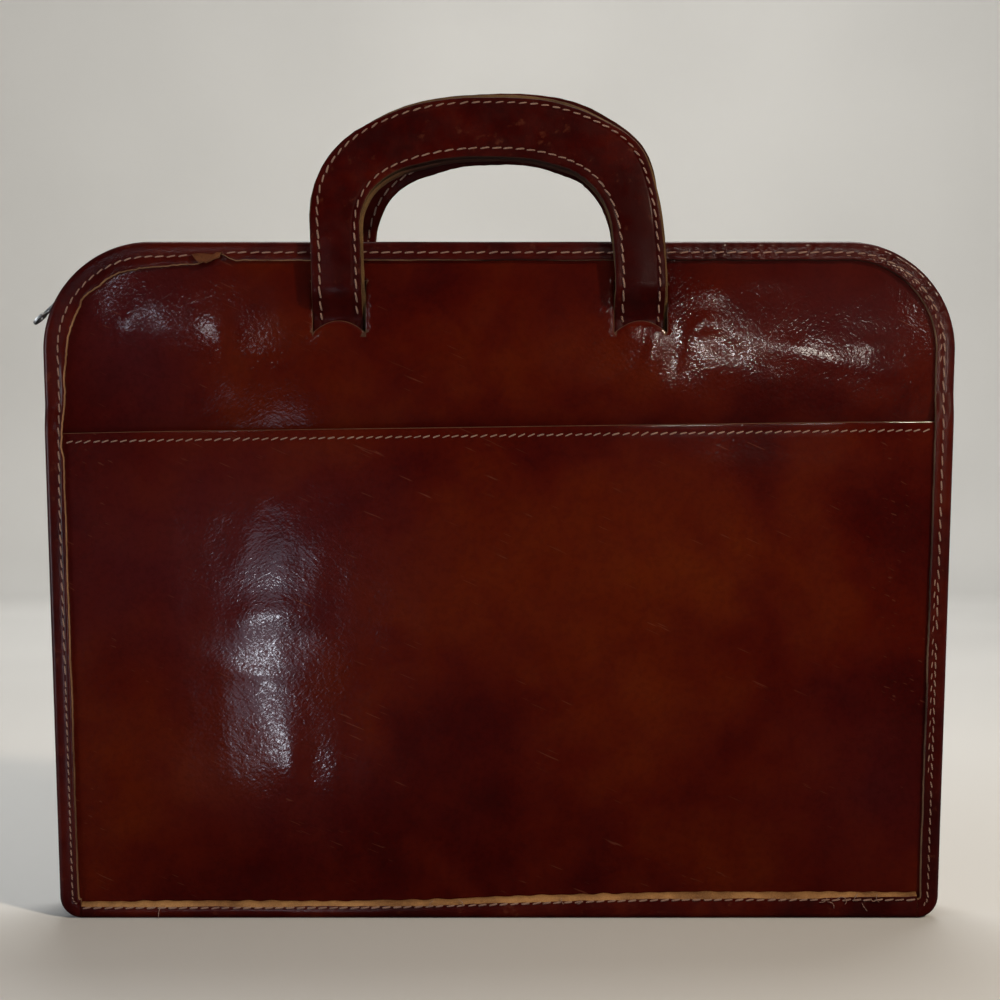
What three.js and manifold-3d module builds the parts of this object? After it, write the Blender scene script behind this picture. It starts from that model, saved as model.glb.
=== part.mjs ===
// A slim zip-round document case in thick polished leather, standing on its base.
// Millimetres. +Z is up, +X is to the right seen from the front, and the front faces -Y.
// The origin is on the ground under the zip's middle line.
// Two leather panels are held at their edges by folded bindings, a base strip and side gussets.
// The front has a wide slip pocket, and each panel has a U-shaped handle whose legs pass
// through two arched slits and end behind the leather.
import * as THREE from "three";
import { mergeVertices } from "three/addons/utils/BufferGeometryUtils.js";
import Module from "manifold-3d";

const wasm = await Module();
wasm.setup();

// Outline of the case, seen from the front
const CASE_HEIGHT = 295;
const BASE_WIDTH = 382;
const TOP_WIDTH = 402; // where the leaning side lines would meet the top line
const TOP_CORNER_RADIUS = 47;
const BASE_CORNER_RADIUS = 9.5;

// Leather thicknesses, and the gap kept between pieces that lie on each other
const GAP = 0.3;
const PANEL_THICKNESS = 1.8;
const POCKET_THICKNESS = 1.8;
const BINDING_THICKNESS = 1.6;
const BASE_THICKNESS = 2.2;
const GUSSET_THICKNESS = 1.4;

// Depth: from the middle plane to the outer face of a panel at its stitched edge
const PANEL_SEAT = 15;
const PANEL_BULGE = 1.6; // the front panel above the pocket
const REAR_BULGE = 4.6;
const POCKET_BULGE = 6.6; // leaves room for papers behind the pocket
const SIDE_RISE = 50; // how far inside the binding a bulge reaches its full height
const BASE_RISE = 60; // the same, above the base strip
const TOP_RISE = 40; // the same, below the top binding

// Pocket mouth, which runs slightly uphill to the right
const MOUTH_LEFT = 211;
const MOUTH_RIGHT = 216.5;
const MOUTH_STEP = 14; // height over which the front binding steps down above the mouth

// Folded binding around both sides and the top
const BINDING_FACE = 8.4;
const BINDING_ROUND = 2.4;
const BINDING_BACK_ROUND = 1;

// Base strip
const BASE_LIP = 8.3;
const BASE_ROUND = 3;
const CUT_EDGE = 1.8; // height of the slanting raw edge on its lips

// Side gussets and zip, sunk between the two bindings
const RECESS = 3.8;
const GUSSET_FOLD = 3.5;
const GUSSET_TUCK = 12; // length that lies on the base strip
const GUSSET_SETTLE = 40; // height over which the fold fades in and out
const ZIP_END_HEIGHT = 255;
const TAPE_THICKNESS = 0.8;
const TEETH_WIDTH = 5.2;
const TEETH_THICKNESS = 1.8;

// Zip slider, on the upper left corner
const SLIDER_SLOPE = 34; // degrees between its length and the vertical
const SLIDER_LENGTH = 11;
const SLIDER_FRONT_WIDTH = 8;
const SLIDER_REAR_WIDTH = 6.4;
const SLIDER_PLATE = 1.3;
const SLIDER_SAG = 0.5; // extra room under the zip, which bends round the corner
const SLIDER_TO_END = 7.2;
const WEDGE_LENGTH = 2.8;
const WEDGE_WIDTH = 3.6;
const BRIDGE_LENGTH = 8.4;
const BRIDGE_WIDTH = 1.8;
const BRIDGE_BAR = 1.1;
const HINGE_RISE = 2.8; // from the slider's plate to the middle of the pull's cross bar

// Zip pull
const PULL_THICKNESS = 1.2;
const PULL_LENGTH = 20.9; // from the hinge line to the tip
const PULL_LEAN = 13; // degrees that it stands out from the zip
const PULL_PLAY = 0.4;
const PULL_RAIL = 1.7;
const PULL_NECK_WIDTH = 3;
const PULL_TIP_WIDTH = 6;
const PULL_TIP_LENGTH = 7;
const PULL_TIP_HOLE = 2.2;

// Handles, seen from the front
const HANDLE_LAYER = 2.3; // two leather layers, face to face
const HANDLE_SEAM = 0.25;
const HANDLE_SPAN = 154.6;
const HANDLE_LEG_WIDTH = 22.9;
const HANDLE_RISE = 65; // from the top of the case to the top of the handle
const HANDLE_TOP_WIDTH = 26.5;
const ARCH_OUTER_START = 7.5; // heights above the case where the arch leaves the legs
const ARCH_INNER_START = 1;
const ARCH_EXPONENT = 2.4;
const FRONT_HANDLE_X = -4;
const REAR_HANDLE_X = -2;
const HANDLE_SWAY = -1.5; // sideways drift of the front handle between slit and arch
const HANDLE_CLEARANCE = 0.8; // between handle and top binding
const HANDLE_MEET = 5; // distance from the middle plane to each handle's middle at the top

// Slits and the handle ends behind them
const SLIT_DEPTH = 40; // from the top of the case to the sides of the slit
const SLIT_RISE = 5.3;
const SLIT_CLEARANCE = 0.5;
const CROSSING_SLOPE = 0.56; // depth gained for each unit of height
const TAIL_LENGTH = 20;

// Broad folds pressed into the leather, each an oval swelling or hollow.
// across and up are shares of the case's half width and height, and so are the half sizes;
// rise is a share of the bulge of the piece.
const POCKET_FOLDS = [
  { across: -0.5, up: 0.4, halfWide: 0.2, halfHigh: 0.26, rise: 0.24 },
  { across: -0.22, up: 0.3, halfWide: 0.16, halfHigh: 0.3, rise: -0.1 },
  { across: 0.72, up: 0.36, halfWide: 0.24, halfHigh: 0.3, rise: -0.12 },
  { across: 0.2, up: 0.52, halfWide: 0.4, halfHigh: 0.18, rise: 0.1 },
];
const PANEL_FOLDS = [
  { across: 0.62, up: 0.79, halfWide: 0.24, halfHigh: 0.06, rise: 0.3 },
  { across: -0.66, up: 0.84, halfWide: 0.18, halfHigh: 0.09, rise: 0.22 },
];
const REAR_FOLDS = [
  { across: 0.4, up: 0.35, halfWide: 0.3, halfHigh: 0.3, rise: 0.15 },
  { across: -0.5, up: 0.6, halfWide: 0.25, halfHigh: 0.25, rise: -0.15 },
];

// Mesh fineness
const TOP_ARC_STEPS = 9;
const BASE_ARC_STEPS = 4;
const ROW_HEIGHT = 22;
const ARCH_STEPS = 26;
const COLUMN_SHARES = [0, 0.18, 0.36, 0.53, 0.68, 0.8, 0.91, 1];

// Layers at the stitched edges, as distances from the middle plane
const pocketSeat = PANEL_SEAT + GAP + POCKET_THICKNESS;
const panelInner = PANEL_SEAT - PANEL_THICKNESS;
const flangeInner = panelInner - GAP;
const valleyHalf = flangeInner - BINDING_THICKNESS;
const edgeInset = BINDING_THICKNESS + GAP;
const panelFoot = BASE_THICKNESS + GAP;
const handleThickness = 2 * HANDLE_LAYER + HANDLE_SEAM;

const FRONT = -1;
const REAR = 1;

const clamp = (value, low, high) => Math.min(high, Math.max(low, value));
const mix = (a, b, share) => a + (b - a) * share;

function smooth(share) {
  const t = clamp(share, 0, 1);
  return t * t * (3 - 2 * t);
}

// Rises from 0 to 1 and stays there, with a level end.
function rise(share) {
  return Math.sin((Math.PI / 2) * clamp(share, 0, 1));
}

// The leaning side line and the two corner arcs, on the right-hand side.
const lean = Math.atan((TOP_WIDTH - BASE_WIDTH) / 2 / CASE_HEIGHT);
const topCentre = arcCentre(CASE_HEIGHT - TOP_CORNER_RADIUS, TOP_CORNER_RADIUS);
const baseCentre = arcCentre(BASE_CORNER_RADIUS, BASE_CORNER_RADIUS);

function arcCentre(z, radius) {
  return { x: BASE_WIDTH / 2 + z * Math.tan(lean) - radius / Math.cos(lean), z };
}

// Half width of the outline at a height, for a line drawn inset inside the silhouette.
function edgeX(z, inset) {
  const topRadius = TOP_CORNER_RADIUS - inset;
  const baseRadius = BASE_CORNER_RADIUS - inset;
  if (z > topCentre.z - topRadius * Math.sin(lean)) {
    return topCentre.x + Math.sqrt(Math.max(0, topRadius ** 2 - (z - topCentre.z) ** 2));
  }
  if (z < baseCentre.z - baseRadius * Math.sin(lean)) {
    return baseCentre.x + Math.sqrt(Math.max(0, baseRadius ** 2 - (z - baseCentre.z) ** 2));
  }
  return BASE_WIDTH / 2 + z * Math.tan(lean) - inset / Math.cos(lean);
}

function arcStation(centre, radius, angle) {
  const nx = Math.cos(angle);
  const nz = Math.sin(angle);
  return { x: centre.x + radius * nx, z: centre.z + radius * nz, nx, nz };
}

// Stations on the right-hand silhouette, from the base line up to the middle of the top,
// each a point and its outward normal.
function rightHalf(sideHeights) {
  const stations = [{ x: baseCentre.x - GUSSET_TUCK, z: 0, nx: 0, nz: -1 }];
  for (let i = 0; i <= BASE_ARC_STEPS; i++) {
    const angle = mix(-Math.PI / 2, -lean, i / BASE_ARC_STEPS);
    stations.push(arcStation(baseCentre, BASE_CORNER_RADIUS, angle));
  }
  for (const z of sideHeights) {
    stations.push({ x: edgeX(z, 0), z, nx: Math.cos(lean), nz: -Math.sin(lean) });
  }
  for (let i = 0; i <= TOP_ARC_STEPS; i++) {
    const angle = mix(-lean, Math.PI / 2, i / TOP_ARC_STEPS);
    stations.push(arcStation(topCentre, TOP_CORNER_RADIUS, angle));
  }
  return stations;
}

const mirrored = (s) => ({ x: -s.x, z: s.z, nx: -s.nx, nz: s.nz });

// The whole silhouette from the left end of the base line to the right end.
function silhouette() {
  const heights = (mouth) => [
    mix(BASE_CORNER_RADIUS, mouth, 0.33),
    mix(BASE_CORNER_RADIUS, mouth, 0.66),
    mouth,
    mouth + MOUTH_STEP / 3,
    mouth + (2 * MOUTH_STEP) / 3,
    mouth + MOUTH_STEP,
  ];
  const left = rightHalf(heights(MOUTH_LEFT)).map(mirrored);
  const right = rightHalf(heights(MOUTH_RIGHT)).reverse();
  const path = [...left, ...right];
  let length = 0;
  path.forEach((s, i) => {
    if (i > 0) length += Math.hypot(s.x - path[i - 1].x, s.z - path[i - 1].z);
    s.along = length;
  });
  return path;
}

const path = silhouette();
const pathLength = path[path.length - 1].along;

// The stretch of the silhouette between two lengths, with exact end stations.
function stretch(from, to) {
  const at = (along) => {
    const i = clamp(path.findIndex((s) => s.along >= along), 1, path.length - 1);
    const [a, b] = [path[i - 1], path[i]];
    const share = (along - a.along) / (b.along - a.along);
    const n = new THREE.Vector2(mix(a.nx, b.nx, share), mix(a.nz, b.nz, share)).normalize();
    return { x: mix(a.x, b.x, share), z: mix(a.z, b.z, share), nx: n.x, nz: n.y, along };
  };
  const slack = 0.5; // no station this close to an end
  const inner = path.filter((s) => s.along > from + slack && s.along < to - slack);
  return [at(from), ...inner, at(to)];
}

// Length along the silhouette at a height on the left side line or corner.
function alongAtHeight(z) {
  const i = path.findIndex((s) => s.z >= z);
  const [a, b] = [path[i - 1], path[i]];
  return mix(a.along, b.along, (z - a.z) / (b.z - a.z));
}

// Height of the pocket's mouth above a place across the case.
function mouthHeight(x) {
  return mix(MOUTH_LEFT, MOUTH_RIGHT, 0.5 + x / TOP_WIDTH);
}

function foldSum(folds, x, z) {
  return folds.reduce((sum, f) => {
    const dx = (x / (TOP_WIDTH / 2) - f.across) / f.halfWide;
    const dz = (z / CASE_HEIGHT - f.up) / f.halfHigh;
    return sum + f.rise * Math.exp(-(dx * dx + dz * dz));
  }, 0);
}

function sideShare(x, z) {
  return rise((edgeX(z, BINDING_FACE) - Math.abs(x)) / SIDE_RISE);
}

// Outer faces of the three large pieces, as distances from the middle plane.
function frontPanelOuter(x, z) {
  const foot = mouthHeight(x) + GAP;
  const height = (z - foot) / (CASE_HEIGHT - BINDING_FACE - foot);
  const swell = Math.sin(Math.PI * clamp(height, 0, 1)) * sideShare(x, z);
  return PANEL_SEAT + PANEL_BULGE * swell * (1 + foldSum(PANEL_FOLDS, x, z));
}

function rearPanelOuter(x, z) {
  const up = rise((z - BASE_LIP) / BASE_RISE);
  const down = rise((CASE_HEIGHT - BINDING_FACE - z) / TOP_RISE);
  const swell = up * down * sideShare(x, z);
  return PANEL_SEAT + REAR_BULGE * swell * (1 + foldSum(REAR_FOLDS, x, z));
}

function pocketOuter(x, z) {
  const swell = rise((z - BASE_LIP) / BASE_RISE) * sideShare(x, z);
  return pocketSeat + POCKET_BULGE * swell * (1 + foldSum(POCKET_FOLDS, x, z));
}

// Outermost layer at the edge of the front, which the binding lies on.
function frontSeat(station) {
  const above = smooth((station.z - mouthHeight(station.x)) / MOUTH_STEP);
  return mix(pocketSeat, PANEL_SEAT, above);
}

// A geometry from corner points and triangles, turned the right way out.
function geometryOf(points, triangles) {
  let volume = 0;
  const product = new THREE.Vector3();
  for (const [a, b, c] of triangles) {
    volume += points[a].dot(product.crossVectors(points[b], points[c]));
  }
  const faces = volume < 0 ? triangles.map(([a, b, c]) => [a, c, b]) : triangles;
  const geometry = new THREE.BufferGeometry().setFromPoints(points);
  geometry.setIndex(faces.flat());
  return geometry;
}

// A closed band through rings of equal length, capped at both ends.
function loft(rings, section) {
  const count = section.length;
  const points = rings.flat();
  const triangles = [];
  for (let r = 0; r + 1 < rings.length; r++) {
    for (let i = 0; i < count; i++) {
      const j = (i + 1) % count;
      const [a, b] = [r * count + i, r * count + j];
      const [c, d] = [a + count, b + count];
      triangles.push([a, b, d], [a, d, c]);
    }
  }
  const last = (rings.length - 1) * count;
  for (const [a, b, c] of THREE.ShapeUtils.triangulateShape(section, [])) {
    triangles.push([a, c, b], [last + a, last + b, last + c]);
  }
  return geometryOf(points, triangles);
}

// A band swept along silhouette stations. sectionAt gives points of (out, y):
// the distance outward from the silhouette, and the depth.
function sweep(stations, sectionAt) {
  const rings = stations.map((s) =>
    sectionAt(s).map((p) => new THREE.Vector3(s.x + s.nx * p.x, p.y, s.z + s.nz * p.x)),
  );
  const capped = sectionAt(stations[0]);
  if (THREE.ShapeUtils.area(capped) < 0) {
    rings.forEach((ring) => ring.reverse());
    capped.reverse();
  }
  return loft(rings, capped);
}

// A sheet with a front and a back face over a grid of places.
function sheet(grid, outer, thickness, side) {
  const rows = grid.length;
  const columns = grid[0].length;
  const face = (depthLost) =>
    grid.flat().map((p) => new THREE.Vector3(p.x, side * (outer(p.x, p.z) - depthLost), p.z));
  const points = [...face(0), ...face(thickness)];
  const back = rows * columns;
  const triangles = [];
  const quad = (a, b, c, d) => triangles.push([a, b, c], [a, c, d]);
  for (let r = 0; r + 1 < rows; r++) {
    for (let c = 0; c + 1 < columns; c++) {
      const a = r * columns + c;
      quad(a, a + 1, a + columns + 1, a + columns);
      quad(back + a, back + a + columns, back + a + columns + 1, back + a + 1);
    }
  }
  const border = [];
  for (let c = 0; c + 1 < columns; c++) border.push(c);
  for (let r = 0; r + 1 < rows; r++) border.push(r * columns + columns - 1);
  for (let c = columns - 1; c > 0; c--) border.push((rows - 1) * columns + c);
  for (let r = rows - 1; r > 0; r--) border.push(r * columns);
  border.forEach((a, i) => {
    const b = border[(i + 1) % border.length];
    quad(b, a, back + a, back + b);
  });
  return geometryOf(points, triangles);
}

// Places across a row: shares of the width between the bindings, then the hidden edge.
function columnPlaces(z) {
  const edge = edgeX(z, edgeInset);
  const shown = Math.min(edgeX(z, BINDING_FACE), edge - PANEL_THICKNESS);
  const right = [...COLUMN_SHARES.map((u) => u * shown), edge];
  return [...right.slice(1).reverse().map((x) => -x), ...right];
}

// Row heights up to a line, closer together round the corners.
function rowHeights(top) {
  const radius = BASE_CORNER_RADIUS - edgeInset;
  const heights = [panelFoot, baseCentre.z - radius / 2, baseCentre.z];
  const start = topCentre.z;
  const end = Math.min(top, start);
  const count = Math.round((end - baseCentre.z) / ROW_HEIGHT);
  for (let i = 1; i <= count; i++) heights.push(mix(baseCentre.z, end, i / count));
  if (top > start) {
    const arc = TOP_CORNER_RADIUS - edgeInset;
    for (let i = 1; i <= TOP_ARC_STEPS; i++) {
      heights.push(start + arc * Math.sin((Math.PI / 2) * (i / TOP_ARC_STEPS)));
    }
  }
  return heights;
}

function panelGrid() {
  const heights = rowHeights(CASE_HEIGHT - edgeInset);
  return heights.map((z) => columnPlaces(z).map((x) => ({ x, z })));
}

function pocketGrid() {
  const top = (MOUTH_LEFT + MOUTH_RIGHT) / 2;
  return rowHeights(top).map((level) =>
    columnPlaces(level).map((x, column) => {
      const share = (level - panelFoot) / (top - panelFoot);
      const z = mix(panelFoot, mouthHeight(x), share);
      return { x: columnPlaces(z)[column], z };
    }),
  );
}

function toManifold(geometry) {
  const bare = new THREE.BufferGeometry();
  bare.setAttribute("position", geometry.getAttribute("position"));
  if (geometry.index) bare.setIndex(geometry.index);
  const merged = mergeVertices(bare, 1e-4);
  const vertProperties = new Float32Array(merged.attributes.position.array);
  const triVerts = new Uint32Array(merged.index.array);
  return new wasm.Manifold(new wasm.Mesh({ numProp: 3, vertProperties, triVerts }));
}

function fromManifold(manifold) {
  const made = manifold.getMesh();
  const geometry = new THREE.BufferGeometry();
  geometry.setAttribute("position", new THREE.BufferAttribute(made.vertProperties, 3));
  geometry.setIndex(new THREE.BufferAttribute(made.triVerts, 1));
  return geometry;
}

// An outline in the X-Z plane as a prism along Y, from one depth to another.
function prismAlongY(outline, fromY, toY) {
  const shape = outline.map(([x, z]) => new THREE.Vector2(x, z));
  if (THREE.ShapeUtils.area(shape) < 0) shape.reverse();
  const ring = (y) => shape.map((p) => new THREE.Vector3(p.x, y, p.y));
  return loft([ring(fromY), ring(toY)], shape);
}

const slitFoot = CASE_HEIGHT - SLIT_DEPTH;
const slitCrown = slitFoot + SLIT_RISE;
const legOffset = (HANDLE_SPAN - HANDLE_LEG_WIDTH) / 2;

// What differs between the front and the rear handle and panel.
const sides = {
  front: { side: FRONT, outer: frontPanelOuter, handleX: FRONT_HANDLE_X, sway: HANDLE_SWAY },
  rear: { side: REAR, outer: rearPanelOuter, handleX: REAR_HANDLE_X, sway: 0 },
};

// Distances from the middle plane to the middle of a handle, inside and outside the panel.
function handleInside(where, x, z) {
  return where.outer(x, z) - PANEL_THICKNESS - 2 * GAP - handleThickness / 2;
}

const handleOutside =
  PANEL_SEAT + GAP + BINDING_THICKNESS + HANDLE_CLEARANCE + handleThickness / 2;

function crossingHeight(where) {
  const inside = handleInside(where, where.handleX + legOffset, slitCrown);
  return (handleOutside - inside) / CROSSING_SLOPE;
}

// The slit's top is where the handle's back has come clear of the panel.
function slitTop(where) {
  return slitCrown + crossingHeight(where) + handleThickness / 2;
}

function slitCutter(where, x) {
  const half = HANDLE_LEG_WIDTH / 2 + SLIT_CLEARANCE;
  const archSteps = 8;
  const outline = [];
  for (let i = 0; i <= archSteps; i++) {
    const share = (2 * i) / archSteps - 1;
    outline.push([x + share * half, slitFoot + SLIT_RISE * (1 - share * share)]);
  }
  outline.push([x + half, slitTop(where)], [x - half, slitTop(where)]);
  return prismAlongY(outline, 0, where.side * 3 * PANEL_SEAT);
}

function panel(where) {
  let made = toManifold(sheet(panelGrid(), where.outer, PANEL_THICKNESS, where.side));
  for (const hand of [-1, 1]) {
    const cutter = toManifold(slitCutter(where, where.handleX + hand * legOffset));
    made = made.subtract(cutter);
  }
  return fromManifold(made);
}

// How deep the zip and gussets lie; the gussets come up to the base strip at the foot.
function recessAt(z) {
  return mix(BASE_THICKNESS + GAP, RECESS, smooth(z / (2 * BASE_CORNER_RADIUS)));
}

// U-shaped binding: a face leg on the panel, a rounded rim, and a back leg in the valley.
function bindingSection(side, seat, z) {
  const t = BINDING_THICKNESS;
  const faceInner = seat + GAP;
  const faceOuter = faceInner + t;
  const points = [[-BINDING_FACE, faceInner], [-BINDING_FACE, faceOuter]];
  for (let i = 0; i <= 3; i++) {
    const angle = (Math.PI / 2) * (1 - i / 3);
    points.push([
      BINDING_ROUND * (Math.cos(angle) - 1),
      faceOuter - BINDING_ROUND * (1 - Math.sin(angle)),
    ]);
  }
  points.push([0, valleyHalf + BINDING_BACK_ROUND], [-BINDING_BACK_ROUND, valleyHalf]);
  points.push([GAP - recessAt(z), valleyHalf], [GAP - recessAt(z), flangeInner]);
  points.push([-t, flangeInner], [-t, faceInner]);
  return points.map(([out, y]) => new THREE.Vector2(out, side * y));
}

function binding(side) {
  const stations = stretch(GUSSET_TUCK, pathLength - GUSSET_TUCK);
  const seat = (s) => (side === FRONT ? frontSeat(s) : PANEL_SEAT);
  return sweep(stations, (s) => bindingSection(side, seat(s), s.z));
}

// Base strip: a U that wraps the foot of both sides, with slanting raw edges.
function baseStrip() {
  const frontInner = pocketSeat + GAP;
  const rearInner = PANEL_SEAT + GAP;
  const wall = (side, inner) => {
    const outer = inner + BASE_THICKNESS;
    const outside = [[side * outer, BASE_LIP - CUT_EDGE]];
    for (let i = 0; i <= 3; i++) {
      const angle = (Math.PI / 2) * (i / 3);
      outside.push([
        side * (outer - BASE_ROUND * (1 - Math.cos(angle))),
        BASE_ROUND * (1 - Math.sin(angle)),
      ]);
    }
    const inside = [[side * inner, BASE_LIP], [side * inner, BASE_THICKNESS]];
    return { outside, inside };
  };
  const front = wall(FRONT, frontInner);
  const rear = wall(REAR, rearInner);
  const outline = [
    ...front.outside,
    ...[...rear.outside].reverse(),
    ...rear.inside,
    ...[...front.inside].reverse(),
  ];
  const section = outline.map(([y, z]) => new THREE.Vector2(y, z));
  if (THREE.ShapeUtils.area(section) < 0) section.reverse();
  const end = baseCentre.x - GAP;
  const ring = (x) => section.map((p) => new THREE.Vector3(x, p.x, p.y));
  return loft([ring(-end), ring(end)], section);
}

// Side gusset: a leather strip between the bindings, folded inward along its middle.
function gusset(hand, fromAlong, toAlong) {
  const widthShares = [-1, -0.5, 0, 0.5, 1];
  const endHeight = stretch(fromAlong, toAlong).at(hand < 0 ? -1 : 0).z;
  const sectionAt = (s) => {
    const outer = -recessAt(s.z);
    const fade =
      smooth((s.z - BASE_CORNER_RADIUS) / GUSSET_SETTLE) *
      smooth((endHeight - s.z) / GUSSET_SETTLE);
    const dip = (share) => GUSSET_FOLD * fade * (1 - Math.abs(share));
    const outside = widthShares.map((w) => [outer - dip(w), w * flangeInner]);
    const inside = outside.map(([out, y]) => [out - GUSSET_THICKNESS, y]).reverse();
    return [...outside, ...inside].map(([out, y]) => new THREE.Vector2(out, y));
  };
  return sweep(stretch(fromAlong, toAlong), sectionAt);
}

function rectangleSection(outLow, outHigh, yLow, yHigh) {
  return [
    new THREE.Vector2(outLow, yLow),
    new THREE.Vector2(outHigh, yLow),
    new THREE.Vector2(outHigh, yHigh),
    new THREE.Vector2(outLow, yHigh),
  ];
}

// Places along the silhouette: the slider, and both ends of the zip.
const sliderAngle = (SLIDER_SLOPE * Math.PI) / 180;
const sliderStation = mirrored(arcStation(topCentre, TOP_CORNER_RADIUS, sliderAngle));
const sliderAlong = alongAtHeight(sliderStation.z);
const zipStart = sliderAlong - SLIDER_TO_END;
const zipEnd = pathLength - alongAtHeight(ZIP_END_HEIGHT) + GAP;
const teethStart = sliderAlong - SLIDER_LENGTH / 2 + WEDGE_LENGTH + GAP;

function zipTape(side) {
  const low = TEETH_WIDTH / 2 + GAP;
  const section = rectangleSection(-RECESS - TAPE_THICKNESS, -RECESS, side * low, side * flangeInner);
  return sweep(stretch(zipStart, zipEnd), () => [...section]);
}

const teethTop = -RECESS - TAPE_THICKNESS / 2 + TEETH_THICKNESS / 2;

function zipTeeth() {
  const half = TEETH_WIDTH / 2;
  const section = rectangleSection(teethTop - TEETH_THICKNESS, teethTop, -half, half);
  return sweep(stretch(teethStart, zipEnd), () => [...section]);
}

// The slider's own frame: X along the zip towards its closed end, Z outward, Y as the case's.
const plateTop = teethTop + GAP + SLIDER_PLATE;
const plateUnder = teethTop - TEETH_THICKNESS - SLIDER_SAG;
const hingeOut = plateTop + HINGE_RISE;

function sliderFrame() {
  const frame = new THREE.Group();
  const s = sliderStation;
  const alongZip = new THREE.Vector3(s.nx, 0, s.nz).cross(new THREE.Vector3(0, 1, 0));
  if (alongZip.z > 0) alongZip.negate();
  const outward = new THREE.Vector3(s.nx, 0, s.nz);
  const across = new THREE.Vector3().crossVectors(outward, alongZip);
  frame.quaternion.setFromRotationMatrix(new THREE.Matrix4().makeBasis(alongZip, across, outward));
  frame.position.set(s.x, 0, s.z);
  return frame;
}

// An outline in the slider's X-Y plane as a plate from one height to another.
function plate(outline, fromOut, toOut) {
  const shape = new THREE.Shape(outline.map(([x, y]) => new THREE.Vector2(x, y)));
  const options = { depth: toOut - fromOut, bevelEnabled: false };
  return toManifold(new THREE.ExtrudeGeometry(shape, options).translate(0, 0, fromOut));
}

function box(fromX, toX, halfY, fromOut, toOut) {
  const outline = [[fromX, -halfY], [toX, -halfY], [toX, halfY], [fromX, halfY]];
  return plate(outline, fromOut, toOut);
}

function slider() {
  const half = SLIDER_LENGTH / 2;
  const [wide, narrow] = [SLIDER_FRONT_WIDTH / 2, SLIDER_REAR_WIDTH / 2];
  const outline = [
    [-half, -narrow + 1],
    [1 - half, -narrow],
    [0, -narrow],
    [half - 2, -wide],
    [half, 1 - wide],
    [half, wide - 1],
    [half - 2, wide],
    [0, narrow],
    [1 - half, narrow],
    [-half, narrow - 1],
  ];
  const bridgeHalf = BRIDGE_LENGTH / 2;
  const barUnder = hingeOut + PULL_PLAY + PULL_THICKNESS / 2;
  const wedgeHalf = WEDGE_WIDTH / 2;
  const parts = [
    plate(outline, plateTop - SLIDER_PLATE, plateTop),
    plate(outline, plateUnder - SLIDER_PLATE, plateUnder),
    box(half - WEDGE_LENGTH, half, wedgeHalf, plateUnder - SLIDER_PLATE, plateTop),
    box(-bridgeHalf, bridgeHalf, BRIDGE_WIDTH / 2, barUnder, barUnder + BRIDGE_BAR),
    box(-bridgeHalf, BRIDGE_BAR - bridgeHalf, BRIDGE_WIDTH / 2, plateTop - GAP, barUnder + BRIDGE_BAR),
    box(bridgeHalf - BRIDGE_BAR, bridgeHalf, BRIDGE_WIDTH / 2, plateTop - GAP, barUnder + BRIDGE_BAR),
  ];
  return fromManifold(parts.reduce((a, b) => a.add(b)));
}

// The pull's cross bar turns under the bridge, and its rails pass either side of it.
function pull() {
  const slotHalf = BRIDGE_WIDTH / 2 + PULL_PLAY;
  const rootHalf = slotHalf + PULL_RAIL;
  const barTop = PULL_THICKNESS / 2 + PULL_PLAY + BRIDGE_BAR;
  const bridgeReach = Math.hypot(BRIDGE_LENGTH / 2, Math.max(barTop, HINGE_RISE));
  const slotEnd = bridgeReach + PULL_PLAY;
  const barHalf = PULL_THICKNESS / 2;
  const neckHalf = PULL_NECK_WIDTH / 2;
  const tipHalf = PULL_TIP_WIDTH / 2;
  const tipStart = PULL_LENGTH - PULL_TIP_LENGTH;
  const upper = [
    [-barHalf, rootHalf - 0.5],
    [0, rootHalf],
    [slotEnd, rootHalf],
    [slotEnd + PULL_RAIL, neckHalf],
    [tipStart, neckHalf],
    [tipStart + 0.2 * PULL_TIP_LENGTH, tipHalf],
    [tipStart + 0.6 * PULL_TIP_LENGTH, tipHalf],
    [tipStart + 0.9 * PULL_TIP_LENGTH, 0.6 * tipHalf],
    [PULL_LENGTH, 0.2 * tipHalf],
  ];
  const lower = upper.map(([x, y]) => [x, -y]).reverse();
  const eye = [];
  for (let i = 0; i < 10; i++) {
    const angle = (2 * Math.PI * i) / 10;
    eye.push([
      tipStart + 0.45 * PULL_TIP_LENGTH + (PULL_TIP_HOLE / 2) * Math.cos(angle),
      (PULL_TIP_HOLE / 2) * Math.sin(angle),
    ]);
  }
  const [under, over] = [hingeOut - PULL_THICKNESS / 2, hingeOut + PULL_THICKNESS / 2];
  const body = plate([...lower, ...upper], under, over);
  const slot = box(barHalf, slotEnd, slotHalf, under - 1, over + 1);
  const flat = fromManifold(body.subtract(slot).subtract(plate(eye, under - 1, over + 1)));
  const turn = (-PULL_LEAN * Math.PI) / 180;
  return flat.translate(0, 0, -hingeOut).rotateY(turn).translate(0, 0, hingeOut);
}

// Middle of a handle's depth at a height: behind the panel, through the slit, past the
// binding, and leaning in towards the other handle.
function handleDepth(where, x, z) {
  const through = smooth((z - slitCrown) / crossingHeight(where));
  const leaning = smooth((z - CASE_HEIGHT - ARCH_INNER_START) / HANDLE_RISE);
  const inside = handleInside(where, x, Math.min(z, slitTop(where)));
  return mix(mix(inside, handleOutside, through), HANDLE_MEET, leaning);
}

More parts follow.
